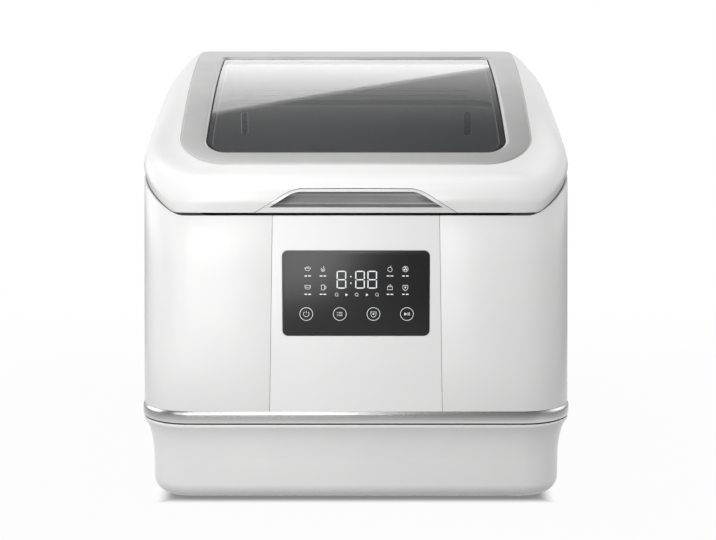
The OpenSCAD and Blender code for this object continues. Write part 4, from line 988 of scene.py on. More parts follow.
    def dot(self, x: float, z: float, r: float, sides: int = 16, turn: float = 0.0) -> None:
        """Adds a filled printed dot or polygon.

        Args:
            x: Centre across.
            z: Centre up.
            r: Radius.
            sides: Its number of corners.
            turn: Clockwise turn in degrees.
        """
        Bench.clear()
        bpy.ops.mesh.primitive_circle_add(vertices=sides, radius=r * MM, fill_type="NGON",
                                          location=(x * MM, 0, z * MM),
                                          rotation=(math.pi / 2, math.radians(turn), 0))
        self.marks.append(Bench.settle(Bench.named("mark")))

    def digit(self, x: float, z: float) -> None:
        """Adds an eight made of seven segments.

        Args:
            x: Centre across.
            z: Centre up.
        """
        w, h, line, gap = self.digit_w, self.digit_h, self.stroke, self.stroke_gap
        for up in (-1, 0, 1):
            self.bar(x, z + up * (h - line) / 2, w - 2 * line - gap, line)
        for side, up in ((-1, -1), (-1, 1), (1, -1), (1, 1)):
            self.bar(x + side * (w - line) / 2, z + up * h / 4, line, h / 2 - line / 2 - 2 * gap)

    def symbol(self, kind: Symbol, x: float, z: float, s: float = 1.0) -> None:
        """Adds one pictogram about 8 mm wide.

        Args:
            kind: Which pictogram.
            x: Centre across.
            z: Centre up.
            s: Scale.
        """
        t = self.fine
        match kind:
            case Symbol.POWER:
                self.ring(x, z, 3.0 * s, t, 130, 280)
                self.bar(x, z + 1.9 * s, t, 2.6 * s)
            case Symbol.LIST:
                for k in (-1, 0, 1):
                    self.bar(x + 0.7 * s, z + 1.7 * k * s, 4.2 * s, t)
                    self.dot(x - 2.6 * s, z + 1.7 * k * s, 0.36 * s, 10)
            case Symbol.SHIELD | Symbol.GUARD:
                self.ring(x, z + 0.2 * s, 2.9 * s, t, 180, 180, 1.25)
                self.bar(x, z + 2.2 * s, 5.4 * s, t)
                for side in (-1, 1):
                    self.bar(x + side * 2.65 * s, z + 1.2 * s, t, 2.2 * s)
                self.dot(x, z + 0.1 * s, 0.9 * s, 12)
            case Symbol.PLAY:
                self.dot(x - 1.7 * s, z, 1.9 * s, 3, 90)
                for side in (0, 1):
                    self.bar(x + (1.1 + 1.5 * side) * s, z, 0.6 * s, 3.2 * s)
            case Symbol.POT:
                self.bar(x, z + 1.2 * s, 7.0 * s, t)
                self.ring(x, z + 1.0 * s, 3.0 * s, t, 180, 180, 1.0)
                self.bar(x, z + 2.2 * s, 3.4 * s, t)
            case Symbol.FLAME:
                self.ring(x, z - 0.6 * s, 2.2 * s, t, 120, 300)
                self.bar(x + 0.6 * s, z + 2.0 * s, t, 2.8 * s, 18)
                self.dot(x, z - 0.8 * s, 0.7 * s, 10)
            case Symbol.BOWL:
                for k in (0, 1):
                    self.ring(x, z + (1.9 - 1.6 * k) * s, 3.2 * s, t, 180, 180, 0.75)
                self.bar(x, z + 2.1 * s, 6.6 * s, t)
            case Symbol.JUG:
                for side in (-1, 1):
                    self.bar(x + side * 1.7 * s, z, t, 5.2 * s)
                for k in (-1, 1):
                    self.bar(x, z + 2.6 * k * s, 3.4 * s, t)
                self.ring(x + 2.0 * s, z, 1.6 * s, t, -90, 180)
            case Symbol.FRUIT:
                self.ring(x, z - 0.4 * s, 2.6 * s, t)
                self.bar(x + 0.7 * s, z + 2.8 * s, t, 1.8 * s, 30)
            case Symbol.FAN:
                self.ring(x, z, 3.1 * s, t)
                for k in range(3):
                    a = math.radians(120 * k + 90)
                    self.dot(x + 1.35 * s * math.cos(a), z + 1.35 * s * math.sin(a), 0.85 * s, 12)
            case Symbol.BAG:
                self.bar(x, z - 2.4 * s, 5.4 * s, t)
                self.bar(x, z + 0.9 * s, 5.4 * s, t)
                for side in (-1, 1):
                    self.bar(x + side * 2.6 * s, z - 0.75 * s, t, 3.4 * s)
                self.ring(x, z + 0.9 * s, 1.7 * s, t, 0, 180, 1.2)

    def print_marks(self) -> None:
        """Digits, key rings and pictograms, joined into one thin printed layer whose finish glows as painted
        light.
        """
        apart, up, wide, high = self.LABEL
        for x in self.DIGITS:
            self.digit(x, self.digit_z)
        for x, z in self.DOTS:
            self.dot(x, z, 0.75)
        for x, kind in self.KEYS.items():
            self.ring(x, self.key_z, self.key_r, self.key_line)
            self.symbol(kind, x, self.key_z)
        for x, kinds in self.COLUMNS.items():
            for z, kind in zip(self.ROWS, kinds):
                self.symbol(kind, x, z, self.small)
                for side in (-1, 1):
                    self.bar(x + side * apart, z + up, wide, high)
        for i, x in enumerate(self.STAGES):
            if i % 2 == 0:
                self.ring(x, self.stage_z, self.stage_r, self.stage_line)
                self.bar(x + 1.3, self.stage_z - 1.4, 1.4, self.stage_line, 45)
            else:
                self.dot(x, self.stage_z - 0.2, self.stage_r, 3, 90)
        piece = Bench.join(self.marks, "control_marks")
        piece.matrix_world = Matrix.Translation((0, -(self.proud + 0.01) * MM, 0)) @ piece.matrix_world
        Bench.settle(piece)
        Bench.tidy(piece)
        Bench.apply(piece, "SOLIDIFY", thickness=self.ink * MM, offset=0.0)
        Bench.tidy(piece, 1e-8)
        self.keep(self.on_face(piece), Skin.MARK, "black_glass")

    def build(self) -> None:
        """Makes the control glass and what is printed on it."""
        self.glass()
        self.print_marks()


Depths = Callable[[float], tuple[float, float]]


@dataclass(frozen=True)
class Outline:
    """Outline of a solid in the grip: cut off each end, foot and head over the lid's edge, upper corners."""

    shrink: float
    low: float
    high: float
    corner: float = 7.0


@dataclass
class Lid(Assembly):
    """Lid shell, silver frame, window and grip."""

    body: str = "lid"
    gap: float = 3.3
    lip: float = 11.0
    crease: float = 3.0
    foot_ahead: float = 3.0
    foot_clear: float = 0.3
    foot_rear: float = 6.0
    seat: float = 5.0
    flange: float = 7.0
    handle_half: float = 102.0
    handle_h: float = 24.0
    handle_slant: float = 38.0
    skin_start: float = 0.012
    skin_steps: int = 18
    lining_steps: int = 6
    full_y0: float = 50.0
    full_y1: float = 170.0
    crown_fall: float = 20.0
    frame_half: float = 182.5
    frame_front: float = 36.0
    frame_rear: float = 14.0
    frame_r0: float = 50.0
    frame_r1: float = 10.0
    frame_flare: float = 4.5
    rail_bed: float = 0.3
    rail_edge: float = 0.2
    rail_proud: float = 0.8
    rail_sill: float = 1.2
    window_half: float = 156.0
    window_front: float = 58.0
    window_rear: float = 69.0
    window_r0: float = 24.0
    window_r1: float = 8.0
    pane_gap: float = 1.6
    pane_top: float = 1.0
    pane_under: float = 4.2
    pane_rings: int = 14
    hinge_x: float = 120.0
    hinge_half: float = 7.0
    lining_y: float = 144.8
    lining_z: float = 396.6
    lining_lean: float = 0.595
    bead_half: float = 134.0
    ahead: float = 20.0

    # The skin's steepness over the crease in degrees, and how far its curve holds its direction at the crease
    # and at the frame: at the sides, at their rear end and at the front.
    RISE = (91.0, 86.0, 72.0)
    FOOT_PULL = (0.74, 0.42, 0.34)
    HEAD_PULL = (0.56, 0.18, 0.3)
    # Shares of the crease and of the lip's height along the rounded lower edge.
    LIP = ((0.0, 0.0), (0.33, 0.33), (0.62, 0.62), (0.84, 0.86))
    # Depth and height of the front lower edge and of the rear upper edge of the hinges' openings.
    HINGE_CUT = ((177.0, 380.0), (199.0, 421.0))
    # Distance above its middle and height over the wall, across a bead on the lining.
    BEAD = ((-1.1, 0.05), (-0.7, 0.7), (0.7, 0.7), (1.1, 0.05))
    # Height of each bead's middle; the beads are dark grey strips that paint the shade of ledge lines.
    BEADS = {"lining_shade_bead_low": 396.5, "lining_shade_bead_high": 402.8}
    # Half length, depths behind the foot line and heights over the lid's edge of the groove in the recess.
    GROOVE = (87.0, (2.2, 6.5), (5.2, 6.4))
    # Height over the lid's edge and depth behind the foot line, up the back of the finger recess.
    RECESS = ((6.2, 6.5), (8.4, 6.5), (9.6, 7.4), (12.0, 9.4), (15.0, 11.4), (17.5, 12.3), (19.0, 12.2),
              (20.2, 10.8), (20.8, 8.5), (21.0, 6.0))

    def __post_init__(self) -> None:
        """Works out the plans that the lid's sections run between, and the outlines of the grip's solids."""
        f = FORM
        self.y0 = f.edge_y - self.foot_ahead
        half = f.half(f.edge_z) - self.crease - self.foot_clear
        self.foot = Plan(half, self.y0, f.rear_y - self.foot_rear, f.corner_r, f.rear_r).points()
        self.head = self.frame_plan(0.0)
        self.middle = (f.face_y + self.window_front + f.rear_y - self.window_rear) / 2
        high = self.handle_h
        self.hole = Outline(-0.3, -5.0, high + 0.3)
        self.surround = Outline(0.5, 0.0, high - 0.4)
        self.mouth = Outline(6.0, 5.4, 21.0, 5.0)
        self.cup = Outline(4.8, 4.4, 22.2, 5.0)
        self.hollow = Outline(6.0, 6.2, 21.0, 5.0)
        self.joint = Outline(-0.5, 0.0, high + 0.5)
        self.joint_core = Outline(4.0, -3.0, 22.6, 5.0)

    def frame_plan(self, inset: float) -> list[tuple[float, float]]:
        """Plan of the silver frame's outside, set in by an amount."""
        k = min(inset, 1.0)
        return Plan(self.frame_half - inset, FORM.face_y + self.frame_front + inset,
                    FORM.rear_y - self.frame_rear - inset, self.frame_r0 - k, self.frame_r1 - k,
                    self.frame_flare).points()

    def window_plan(self, inset: float) -> list[tuple[float, float]]:
        """Plan of the window opening, set in by an amount."""
        return Plan(self.window_half - inset, FORM.face_y + self.window_front + inset,
                    FORM.rear_y - self.window_rear - inset, self.window_r0 - inset * 0.6,
                    max(2.0, self.window_r1 - inset)).points()

    def outward(self, i: int) -> tuple[float, float]:
        """Unit direction away from the frame at station i."""
        dx, dy = self.foot[i][0] - self.head[i][0], self.foot[i][1] - self.head[i][1]
        size = math.hypot(dx, dy)
        return dx / size, dy / size

    def skin(self, i: int, t: float, depth: float = 0.0) -> Point:
        """Point of the skin between the crease and the frame.

        Args:
            i: Station round the plan.
            t: Share of the way from the crease to the frame.
            depth: Distance below the outside.
        Returns:
            The point in millimetres.
        """
        ox, oy = self.outward(i)
        px, py = self.foot[i]
        hx, hy = self.head[i]
        frontness = max(0.0, -oy) ** 2
        b = Vector((px + ox * self.crease, py + oy * self.crease, FORM.seam(py) + self.gap + self.lip))
        c = Vector((hx, hy, FORM.crown(hy)))
        length = (c - b).length
        rear = ease((hy - self.full_y0) / (self.full_y1 - self.full_y0))
        rise, kb, kc = (mix(mix(side, back, rear), front, frontness)
                        for side, back, front in (self.RISE, self.FOOT_PULL, self.HEAD_PULL))
        rise = math.radians(rise)
        drop = math.tan(math.radians(self.crown_fall))
        fall = math.atan(math.hypot(FORM.crown_slope(hy) * oy if oy < 0 else 0.0,
                                    math.hypot(drop * ox, drop * oy if oy > 0 else 0.0)))
        out = Vector((ox, oy, 0))
        b1 = b + length * kb * (-out * math.cos(rise) + Vector((0, 0, math.sin(rise))))
        c1 = c + length * kc * (out * math.cos(fall) - Vector((0, 0, math.sin(fall))))
        u = 1 - t
        p = u**3 * b + 3 * u * u * t * b1 + 3 * u * t * t * c1 + t**3 * c
        d = (u * u * (b1 - b) + 2 * u * t * (c1 - b1) + t * t * (c - c1)).normalized()
        inward = -(d.x * ox + d.y * oy)
        q = p - depth * Vector((ox * d.z, oy * d.z, inward))
        return q.x, q.y, q.z

    def section(self, i: int) -> Loop:
        """Closed section of the shell.

        Args:
            i: Station round the plan.
        Returns:
            Points in millimetres.
        """
        px, py = self.foot[i]
        ox, oy = self.outward(i)
        z0 = FORM.seam(py) + self.gap
        fx, fy = self.head[i]
        wx, wy = self.window_plan(self.flange)[i]
        zf, zw, wall = FORM.crown(fy) - self.seat, FORM.crown(wy) - self.seat, FORM.wall
        lip = [(px + ox * self.crease * s, py + oy * self.crease * s, z0 + self.lip * t)
               for s, t in self.LIP]
        outer = [self.skin(i, mix(self.skin_start, 1.0, k / self.skin_steps))
                 for k in range(self.skin_steps + 1)]
        inner = [self.skin(i, k / self.lining_steps, wall) for k in reversed(range(self.lining_steps))]
        return (lip + outer + [(fx, fy, zf), (wx, wy, zw), (wx, wy, zw - wall),
                               (fx + ox * wall, fy + oy * wall, zf - wall)]
                + inner + [(px - ox * wall, py - oy * wall, z0)])

    def front_y(self, z: float, depth: float) -> float:
        """Depth position of the lid's front.

        Args:
            z: The height.
            depth: Distance below the skin.
        Returns:
            The position in millimetres.
        """
        low = FORM.edge_z + self.gap
        line = [(low, self.y0 + depth), (low + self.lip, self.y0 - self.crease + depth)]
        line += [(p[2], p[1]) for p in (self.skin(0, 0.04 * k, depth) for k in range(1, 12))]
        for (z0, y0), (z1, y1) in zip(line, line[1:]):
            if z <= z1:
                break
        return mix(y0, y1, (z - z0) / (z1 - z0))

    def grip_half(self, z: float, shrink: float, high: float, corner: float) -> float:
        """Half width of the grip's outline at height z, with round upper corners.

        Args:
            z: The height.
            shrink: Amount taken off each end.
            high: Height of the outline's head.
            corner: Radius of the upper corners.
        Returns:
            The half width in millimetres.
        """
        slope = self.handle_slant / self.handle_h
        bite = max(0.0, min(1.0, 1 - (high - z) / corner))
        return (self.handle_half - shrink - slope * (z - FORM.edge_z - self.gap)
                - corner * (1 - math.sqrt(1 - bite * bite)))

    def grip_solid(self, name: str, outline: Outline, depths: Depths) -> bpy.types.Object:
        """Solid in the grip.

        Args:
            name: The piece's name.
            outline: Its outline from the front.
            depths: Gives its front and its back at a height.
        Returns:
            The new object.
        """
        base, corner = FORM.edge_z + self.gap, outline.corner
        foot, top = base + outline.low, base + outline.high
        knee = mix(foot, top - corner, 0.999)
        heights = [mix(foot, knee, k / 10) for k in range(10)]
        heights += [top - corner * math.cos(math.radians(90 * k / 8)) for k in range(9)]
        levels = [(z, self.grip_half(z, outline.shrink, top, corner), *depths(z)) for z in heights]
        return Bench.stack(name, levels)

    def upright(self, back: float) -> Depths:
        """Depths of a cutter, from before the lid to a distance behind its foot line."""
        return lambda z: (self.y0 - self.ahead, self.y0 + back)

    def along(self, front: float, back: float) -> Depths:
        """Depths that follow the lid's front, between two distances below its skin."""
        return lambda z: (self.front_y(z, front), self.front_y(z, back))

    def shell(self) -> None:
        """White outer shell with the grip's and the hinges' openings."""
        piece = Bench.ring("lid_skin", [self.section(i) for i in range(len(self.foot))])
        Bench.carve(piece, self.grip_solid("cut", self.hole, self.upright(22)))
        low, high = self.HINGE_CUT
        for x in (-self.hinge_x, self.hinge_x):
            Bench.carve(piece, Bench.block("cut", (x - self.hinge_half, *low), (x + self.hinge_half, *high)))
        Bench.soften(piece, 0.4, 55, 2)
        Bench.smooth(piece, 32)
        self.keep(piece, Skin.WHITE, "white_plastic", "lid_shell")

    def rail(self) -> None:
        """Silver frame round the window, bevelled down to the glass."""
        loops = []
        f0, f1 = self.frame_plan(0.2), self.frame_plan(1.4)
        w0, w1 = self.window_plan(0), self.window_plan(-3)
        for i in range(len(f0)):
            zf, z1, zw, z2 = (FORM.crown(p[i][1]) for p in (f0, f1, w0, w1))
            loops.append([(*f0[i], zf - self.seat + self.rail_bed), (*f0[i], zf - self.rail_edge),
                          (*f1[i], z1 + self.rail_proud), (*w1[i], z2 + self.rail_proud),
                          (*w0[i], zw - self.rail_sill), (*w0[i], zw - self.seat + self.rail_bed)])
        piece = Bench.ring("window_surround", loops)
        Bench.soften(piece, 0.35, 18, 3)
        Bench.smooth(piece, 40)
        self.keep(piece, Skin.SILVER, "silver_trim", "lid_frame")

    def window(self) -> None:
        """Curved pane, as rings that close on its middle."""
        edge = self.window_plan(self.pane_gap)
        full = edge + [(-x, y) for x, y in reversed(edge[1:-1])]
        middle = self.middle

        def lap(s: float, depth: float) -> Loop:
            """Ring of the pane's outline drawn in to a share s, a depth below the crown."""
            return [(x * s, middle + (y - middle) * s, FORM.crown(middle + (y - middle) * s) - depth)
                    for x, y in full]

        shares = [1 - k / self.pane_rings for k in range(self.pane_rings)] + [0.001]
        rings = [lap(s, self.pane_top) for s in reversed(shares)] + [lap(s, self.pane_under) for s in shares]
        piece = Bench.sheet("window_pane", rings, around=False, across=True)
        Bench.cap(piece)
        Bench.smooth(piece, 40)
        self.keep(piece, Skin.WINDOW, "window", "lid_glass")
        bpy.data.collections["mirrored_card"].objects.link(piece)

    def recess(self, z: float) -> float:
        """Depth position of the back of the finger recess.

        Args:
            z: The height.
        Returns:
            The position in millimetres.
        """
        up = z - FORM.edge_z - self.gap
        for (u0, d0), (u1, d1) in zip(self.RECESS, self.RECESS[1:]):
            if up <= u1:
                break
        return self.y0 + mix(d0, d1, (up - u0) / (u1 - u0))

    def bead(self, name: str, z: float) -> None:
        """Fine moulded bead across the rear wall of the lid's lining, in dark grey as painted shade of a ledge
        line.

        Args:
            name: Its name.
            z: Height of its middle.
        """
        levels = []
        for up, proud in self.BEAD:
            wall = self.lining_y - self.lining_lean * (z + up - self.lining_z)
            levels.append((z + up, self.bead_half - abs(up), wall - proud, wall + 1.0))
        self.keep(Bench.smooth(Bench.stack(name, levels), 30), Skin.MID, "grey_plastic")

    def grip(self) -> None:
        """Pearl surround of the grip, its finger recess in grey darkened as painted shade, and the dark joint
        round it.
        """
        plate = self.grip_solid("grip_surround", self.surround, self.along(-0.35, 2.4))
        Bench.carve(plate, self.grip_solid("cut", self.mouth, self.upright(12)))
        Bench.soften(plate, 0.55, 40, 3)
        self.keep(Bench.smooth(plate, 40), Skin.GRIP, "silver_trim", "handle_insert")
        # The recess's dark grey is partly its own satin colour and partly painted shade in the hollow.
        cup = self.grip_solid("grip_recess", self.cup, lambda z: (self.front_y(z, 1.2), self.y0 + 15.5))
        Bench.carve(cup, self.grip_solid("cut", self.hollow, lambda z: (self.y0 - self.ahead, self.recess(z))))
        low = FORM.edge_z + self.gap
        half, depths, ups = self.GROOVE
        Bench.carve(cup, Bench.block("cut", (-half, self.y0 + depths[0], low + ups[0]),
                                     (half, self.y0 + depths[1], low + ups[1])))
        Bench.soften(cup, 0.4, 50, 2)
        self.keep(Bench.smooth(cup, 40), Skin.CUP, "grey_plastic")
        joint = self.grip_solid("grip_joint", self.joint, self.along(1.3, 2.3))
        Bench.carve(joint, self.grip_solid("cut", self.joint_core, self.upright(22)))
        self.keep(Bench.smooth(joint, 40), Skin.SEAL, "rubber_part")

    def build(self) -> None:
        """Makes the lid's outer pieces."""
        self.shell()
        self.rail()
        self.window()
        self.grip()
        # The dark beads paint the shade of ledge lines on the lining.
        for name, z in self.BEADS.items():
            self.bead(name, z)


@dataclass
class Carried(Assembly):
    """CAD nodes that keep their shape and get a smooth copy or a better finish."""

    body: str = "casing"
    slot_end: float = 4.3
    slot_r: float = 3.7
    slat_steps: int = 22
    slat_face: float = 1.9
    slat_depth: float = 1.1

    # CAD node to the copy's name, finish, slot, body where it moves, and rounding of its edges.
    SMOOTH = {
        "rubber_feet": ("rubber_pads", Skin.RUBBER, "rubber_part", 0.4),
        "rear_cover": ("rear_panel", Skin.WHITE, "white_plastic", 0.3),
        "cover_screws": ("panel_screws", Skin.STEEL, "steel", 0.2),
        "top_deck": ("mouth_deck", Skin.PALE, "light_plastic", 0.0),
        "tub": ("wash_tub", Skin.TUB, "tub_plastic", 0.0),
        "tub_gasket": ("mouth_seal", Skin.SEAL, "rubber_part", 0.0),
        "spray_hub": ("hub_stem", Skin.MID, "grey_plastic", 0.3),
        "spray_cap": ("hub_nut", Skin.MID, "grey_plastic", 0.3),
        "coarse_filter": ("sieve_plate", Skin.STEEL, "steel", 0.0),
        "heater_element": ("heating_ring", Skin.STEEL, "steel", 0.0),
        "drain_spigot": ("waste_spigot", Skin.DARK, "dark_plastic", 0.3),
        "inlet_valve": ("supply_valve", Skin.WHITE, "white_plastic", 0.3),
        "lead_gland": ("lead_bush", Skin.DARK, "rubber_part", 0.3),
        "fan_housing": ("fan_scroll", Skin.DARK, "dark_plastic", 0.0),
        "hinge_brackets": ("hinge_posts", Skin.STEEL, "steel", 0.4),
        "hinge_pins": ("hinge_axles", Skin.STEEL, "steel", 0.0),
        "hinge_dampers": ("hinge_brakes", Skin.DARK, "dark_plastic", 0.4),
        "door_lock": ("lock_case", Skin.PALE, "light_plastic", 0.3),
    }
    MOVING = {
        "spray_arm": ("wash_arm", Skin.PALE, "light_plastic", "spray_arm", 0.3),
        "filter_cup": ("filter_basket", Skin.MID, "grey_plastic", "filter", 0.3),
        "dish_rack": ("rack_wires", Skin.WIRE, "steel", "rack", 0.0),
        "rack_fence": ("rack_rails", Skin.WIRE, "steel", "rack", 0.0),
        "rack_legs": ("rack_feet", Skin.WIRE, "steel", "rack", 0.0),
        "plate_tines": ("tine_rows", Skin.WIRE, "steel", "rack", 0.0),
        "cutlery_basket": ("fork_basket", Skin.PALE, "light_plastic", "rack", 0.4),
        "basket_sides": ("basket_panels", Skin.PALE, "light_plastic", "rack", 0.3),
        "basket_ends": ("basket_dividers", Skin.PALE, "light_plastic", "rack", 0.3),
        "lid_liner": ("lid_lining", Skin.PALE, "light_plastic", "lid", 0.0),
        "glass_seal": ("pane_seal", Skin.SEAL, "rubber_part", "lid", 0.0),
        "lock_tongue": ("latch_tongue", Skin.DARK, "light_plastic", "lid", 0.2),
        "hinge_arms": ("hinge_leaves", Skin.STEEL, "steel", "lid", 0.4),
    }
    # Hidden nodes that keep their own mesh and only get a finish.
    PLAIN = {
        "tub_posts": Skin.PALE, "display_board": Skin.BOARD, "sump": Skin.DARK, "pump_housing": Skin.DARK,
        "pump_rotor": Skin.PALE, "pump_bracket": Skin.MID, "wash_duct": Skin.MID, "drain_pump": Skin.DARK,
        "drain_hose": Skin.RUBBER, "inlet_hose": Skin.RUBBER, "air_break": Skin.PALE,
        "control_board": Skin.BOARD, "fan_wheel": Skin.DARK, "exhaust_duct": Skin.DARK,
        "lock_bolt": Skin.STEEL,
    }

    def louvre(self, name: str, x: float, low: Sequence[float], high: Sequence[float]) -> None:
        """Dark slatted insert in one of the wash tub's air slots.

        Args:
            name: Its name.
            x: Its centre across.
            low: Lowest corner of the duct behind the slot.
            high: Highest corner of that duct.
        """
        z0, z1, r = low[2] + self.slot_end, high[2] - self.slot_end, self.slot_r
        levels = []
        for k in range(self.slat_steps + 1):
            z = mix(z0, z1, k / self.slat_steps)
            end = max(0.0, r - (z - z0), r - (z1 - z))
            face = low[1] - self.slat_face + self.slat_depth * (k // 2 % 2)
            levels.append((z, math.sqrt(max(0.04, r * r - end * end)), face, low[1] - 0.1))
        piece = Bench.stack(name, levels)
        piece.location.x = x * MM
        self.keep(Bench.smooth(Bench.settle(piece), 30), Skin.DARK, "dark_plastic")

    def carry(self, node: str, name: str, skin: Skin, slot: str, edge: float) -> None:
        """Keeps a smooth copy of a CAD node.

        Args:
            node: The CAD node.
            name: The copy's name.
            skin: Its finish.
            slot: The record's material slot.
            edge: Rounding of its sharp edges, or 0.
        """
        piece = Bench.copy_node(node, name)
        if edge:
            Bench.smooth(Bench.soften(piece, edge, 60), 30)
        self.keep(piece, skin, slot)

    def build(self) -> None:
        """Dresses the carried nodes."""
        low, high = ([c / MM for c in corner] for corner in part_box("exhaust_duct"))
        for name, side in (("slot_louvre_left", -1), ("slot_louvre_right", 1)):
            self.louvre(name, side * abs(low[0] + high[0]) / 2, low, high)
        for node, row in self.SMOOTH.items():
            self.carry(node, *row)
        for node, (name, skin, slot, body, edge) in self.MOVING.items():
            self.body = body
            self.carry(node, name, skin, slot, edge)
        for node, skin in self.PLAIN.items():
            skin.dress(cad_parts[node])


# ------------------------------------------------------------------ studio


@dataclass
class Studio:
    """Camera, floor, background and lamps."""

    eye: Point = (0.0, -1.915, 0.5366)
    tilt: float = 80.3
    lens: float = 86.18
    sensor: float = 36.0
    shift: float = 0.0028
    far: float = 50.0
    daylight: float = 0.62
    floor_tone: float = 0.3
    floor_size: float = 12.0
    floor_drop: float = 0.0002
    card_y: float = 1.3

    # Where each fade starts and ends, and what it gives at either end. The floor's follow the distance in
    # metres from the machine's middle, the world's the direction looked in.
    CONTACT = (0.190, 0.209, 0.2, 0.97)
    BEYOND = (0.209, 1.0, 1.0, 1.031)
    MIRRORED = (0.3, 0.8, 0.94, 0.0)
    SIDEWAYS = (-0.25, 0.25, 0.5, 0.1)
    FORWARD = (-0.5, 0.3, 0.25, 1.0)
    UPWARD = (0.45, 0.8, 1.0)
    # Both ends (x, z) of the reflected card's lower edge, its size and its power.
    CARD = ((-0.325, 1.734), (0.280, 0.915), (2.0, 1.0), 11.3)
    # Name, place, aim, width and height, and power of each lamp.
    LAMPS = (
        ("overhead", (-0.2, -0.2, 1.6), (0, 0, 0.3), (1.2, 0.9), 3.4),
        ("side_left", (-1.3, 0, 0.5), (-0.15, 0, 0.2), (1.0, 0.8), 3.9),
        ("side_right", (1.3, 0, 0.5), (0.15, 0, 0.2), (1.0, 0.8), 1.9),
        ("top_left", (-0.8, -0.2, 1.2), (0, 0, 0.3), (0.8, 0.8), 0.5),
        ("fill", (1.5, -0.9, 0.6), (0, 0, 0.2), (0.8, 1.0), 0.45),
        ("near_key", (-0.12, -0.62, 0.42), (-0.05, -0.2, 0.25), (0.25, 0.25), 0.26),
        ("near_high", (0, -0.8, 0.75), (0, -0.2, 0.25), (0.4, 0.3), 0.15),
        ("near_low", (-0.15, -0.85, 0.25), (-0.05, -0.2, 0.2), (0.3, 0.3), 0.92),
        ("near_left", (-0.3, -0.5, 0.2), (-0.1, -0.2, 0.25), (0.2, 0.2), 0.15),
        ("near_lid", (-0.1, -0.55, 0.6), (-0.05, -0.2, 0.3), (0.3, 0.2), 0.35),
    )

    def camera(self) -> None:
        """Camera at the photograph's viewpoint."""
        data = bpy.data.cameras.new("viewpoint")
        data.lens = self.lens
        data.sensor_width = self.sensor
        data.shift_x = self.shift
        data.clip_end = self.far
        eye = bpy.data.objects.new("viewpoint", data)
        eye.location = self.eye
        eye.rotation_euler = (math.radians(self.tilt), 0.0, 0.0)
        bpy.context.scene.collection.objects.link(eye)
        bpy.context.scene.camera = eye

    @staticmethod
    def panel(name: str, size: tuple[float, float], watts: float) -> bpy.types.Object:
        """Rectangular soft lamp that the camera doesn't see.

        Args:
            name: Its name.
            size: Its width and height in metres.
            watts: Its power.
        Returns:
            The lamp, at the origin.
        """
        data = bpy.data.lights.new(name, "AREA")
        data.shape = "RECTANGLE"
        data.size, data.size_y = size
        data.energy = watts
        lamp = bpy.data.objects.new(name, data)
        lamp.visible_camera = False
        bpy.context.scene.collection.objects.link(lamp)
        return lamp

    @staticmethod
    def seen(n: Nodes, *kinds: str) -> bpy.types.NodeSocket:
        """Socket that is 1 for the named kinds of ray.

        Args:
            n: The tree's nodes.
            kinds: Outputs of the Light Path node.
        Returns:
            The socket.
        """
        path = n.add("ShaderNodeLightPath")
        total = path.outputs[kinds[0]]
        for kind in kinds[1:]:
            total = Studio.combine(n, "MAXIMUM", total, path.outputs[kind])
        return total

    @staticmethod
    def fade(n: Nodes, value: bpy.types.NodeSocket, start: float, end: float, low: float,
             high: "float | bpy.types.NodeSocket") -> bpy.types.NodeSocket:
        """Socket that runs smoothly from one value to another.

        Args:
            n: The tree's nodes.
            value: The socket that it follows.
            start: Value at which the change starts.
            end: Value at which it ends.
            low: What comes out at the start.
            high: What comes out at the end, or the socket that gives it.
        Returns:
            The socket.
        """
        ramp = n.add("ShaderNodeMapRange", interpolation_type="SMOOTHSTEP", From_Min=start, From_Max=end,
                     To_Min=low)
        if isinstance(high, float):
            ramp.inputs["To Max"].default_value = high
        else:
            n.link(high, ramp.inputs["To Max"])
        n.link(value, ramp.inputs["Value"])
        return ramp.outputs["Result"]

    @staticmethod
    def combine(n: Nodes, operation: str, a: bpy.types.NodeSocket,
                b: bpy.types.NodeSocket) -> bpy.types.NodeSocket:
        """Socket worked out from two others.

        Args:
            n: The tree's nodes.
            operation: What the Math node does.
            a: Its first input.
            b: Its second input.
        Returns:
            The socket.
        """
        node = n.add("ShaderNodeMath", operation=operation)
        n.link(a, node.inputs[0])
        n.link(b, node.inputs[1])
        return node.outputs[0]

    @staticmethod
    def blend(n: Nodes, share: bpy.types.NodeSocket, first: bpy.types.NodeSocket, second: bpy.types.NodeSocket,
              output: str) -> None:
        """Leads a mix of two shaders to the tree's output.

        Args:
            n: The tree's nodes.
            share: Share of the second shader.
            first: The first shader.
            second: The second shader.
            output: Name of the output node.
        """
        mixed = n.add("ShaderNodeMixShader")
        for target, source in zip(mixed.inputs, (share, first, second)):
            n.link(source, target)
        n.link(mixed.outputs[0], n.tree.nodes[output].inputs["Surface"])

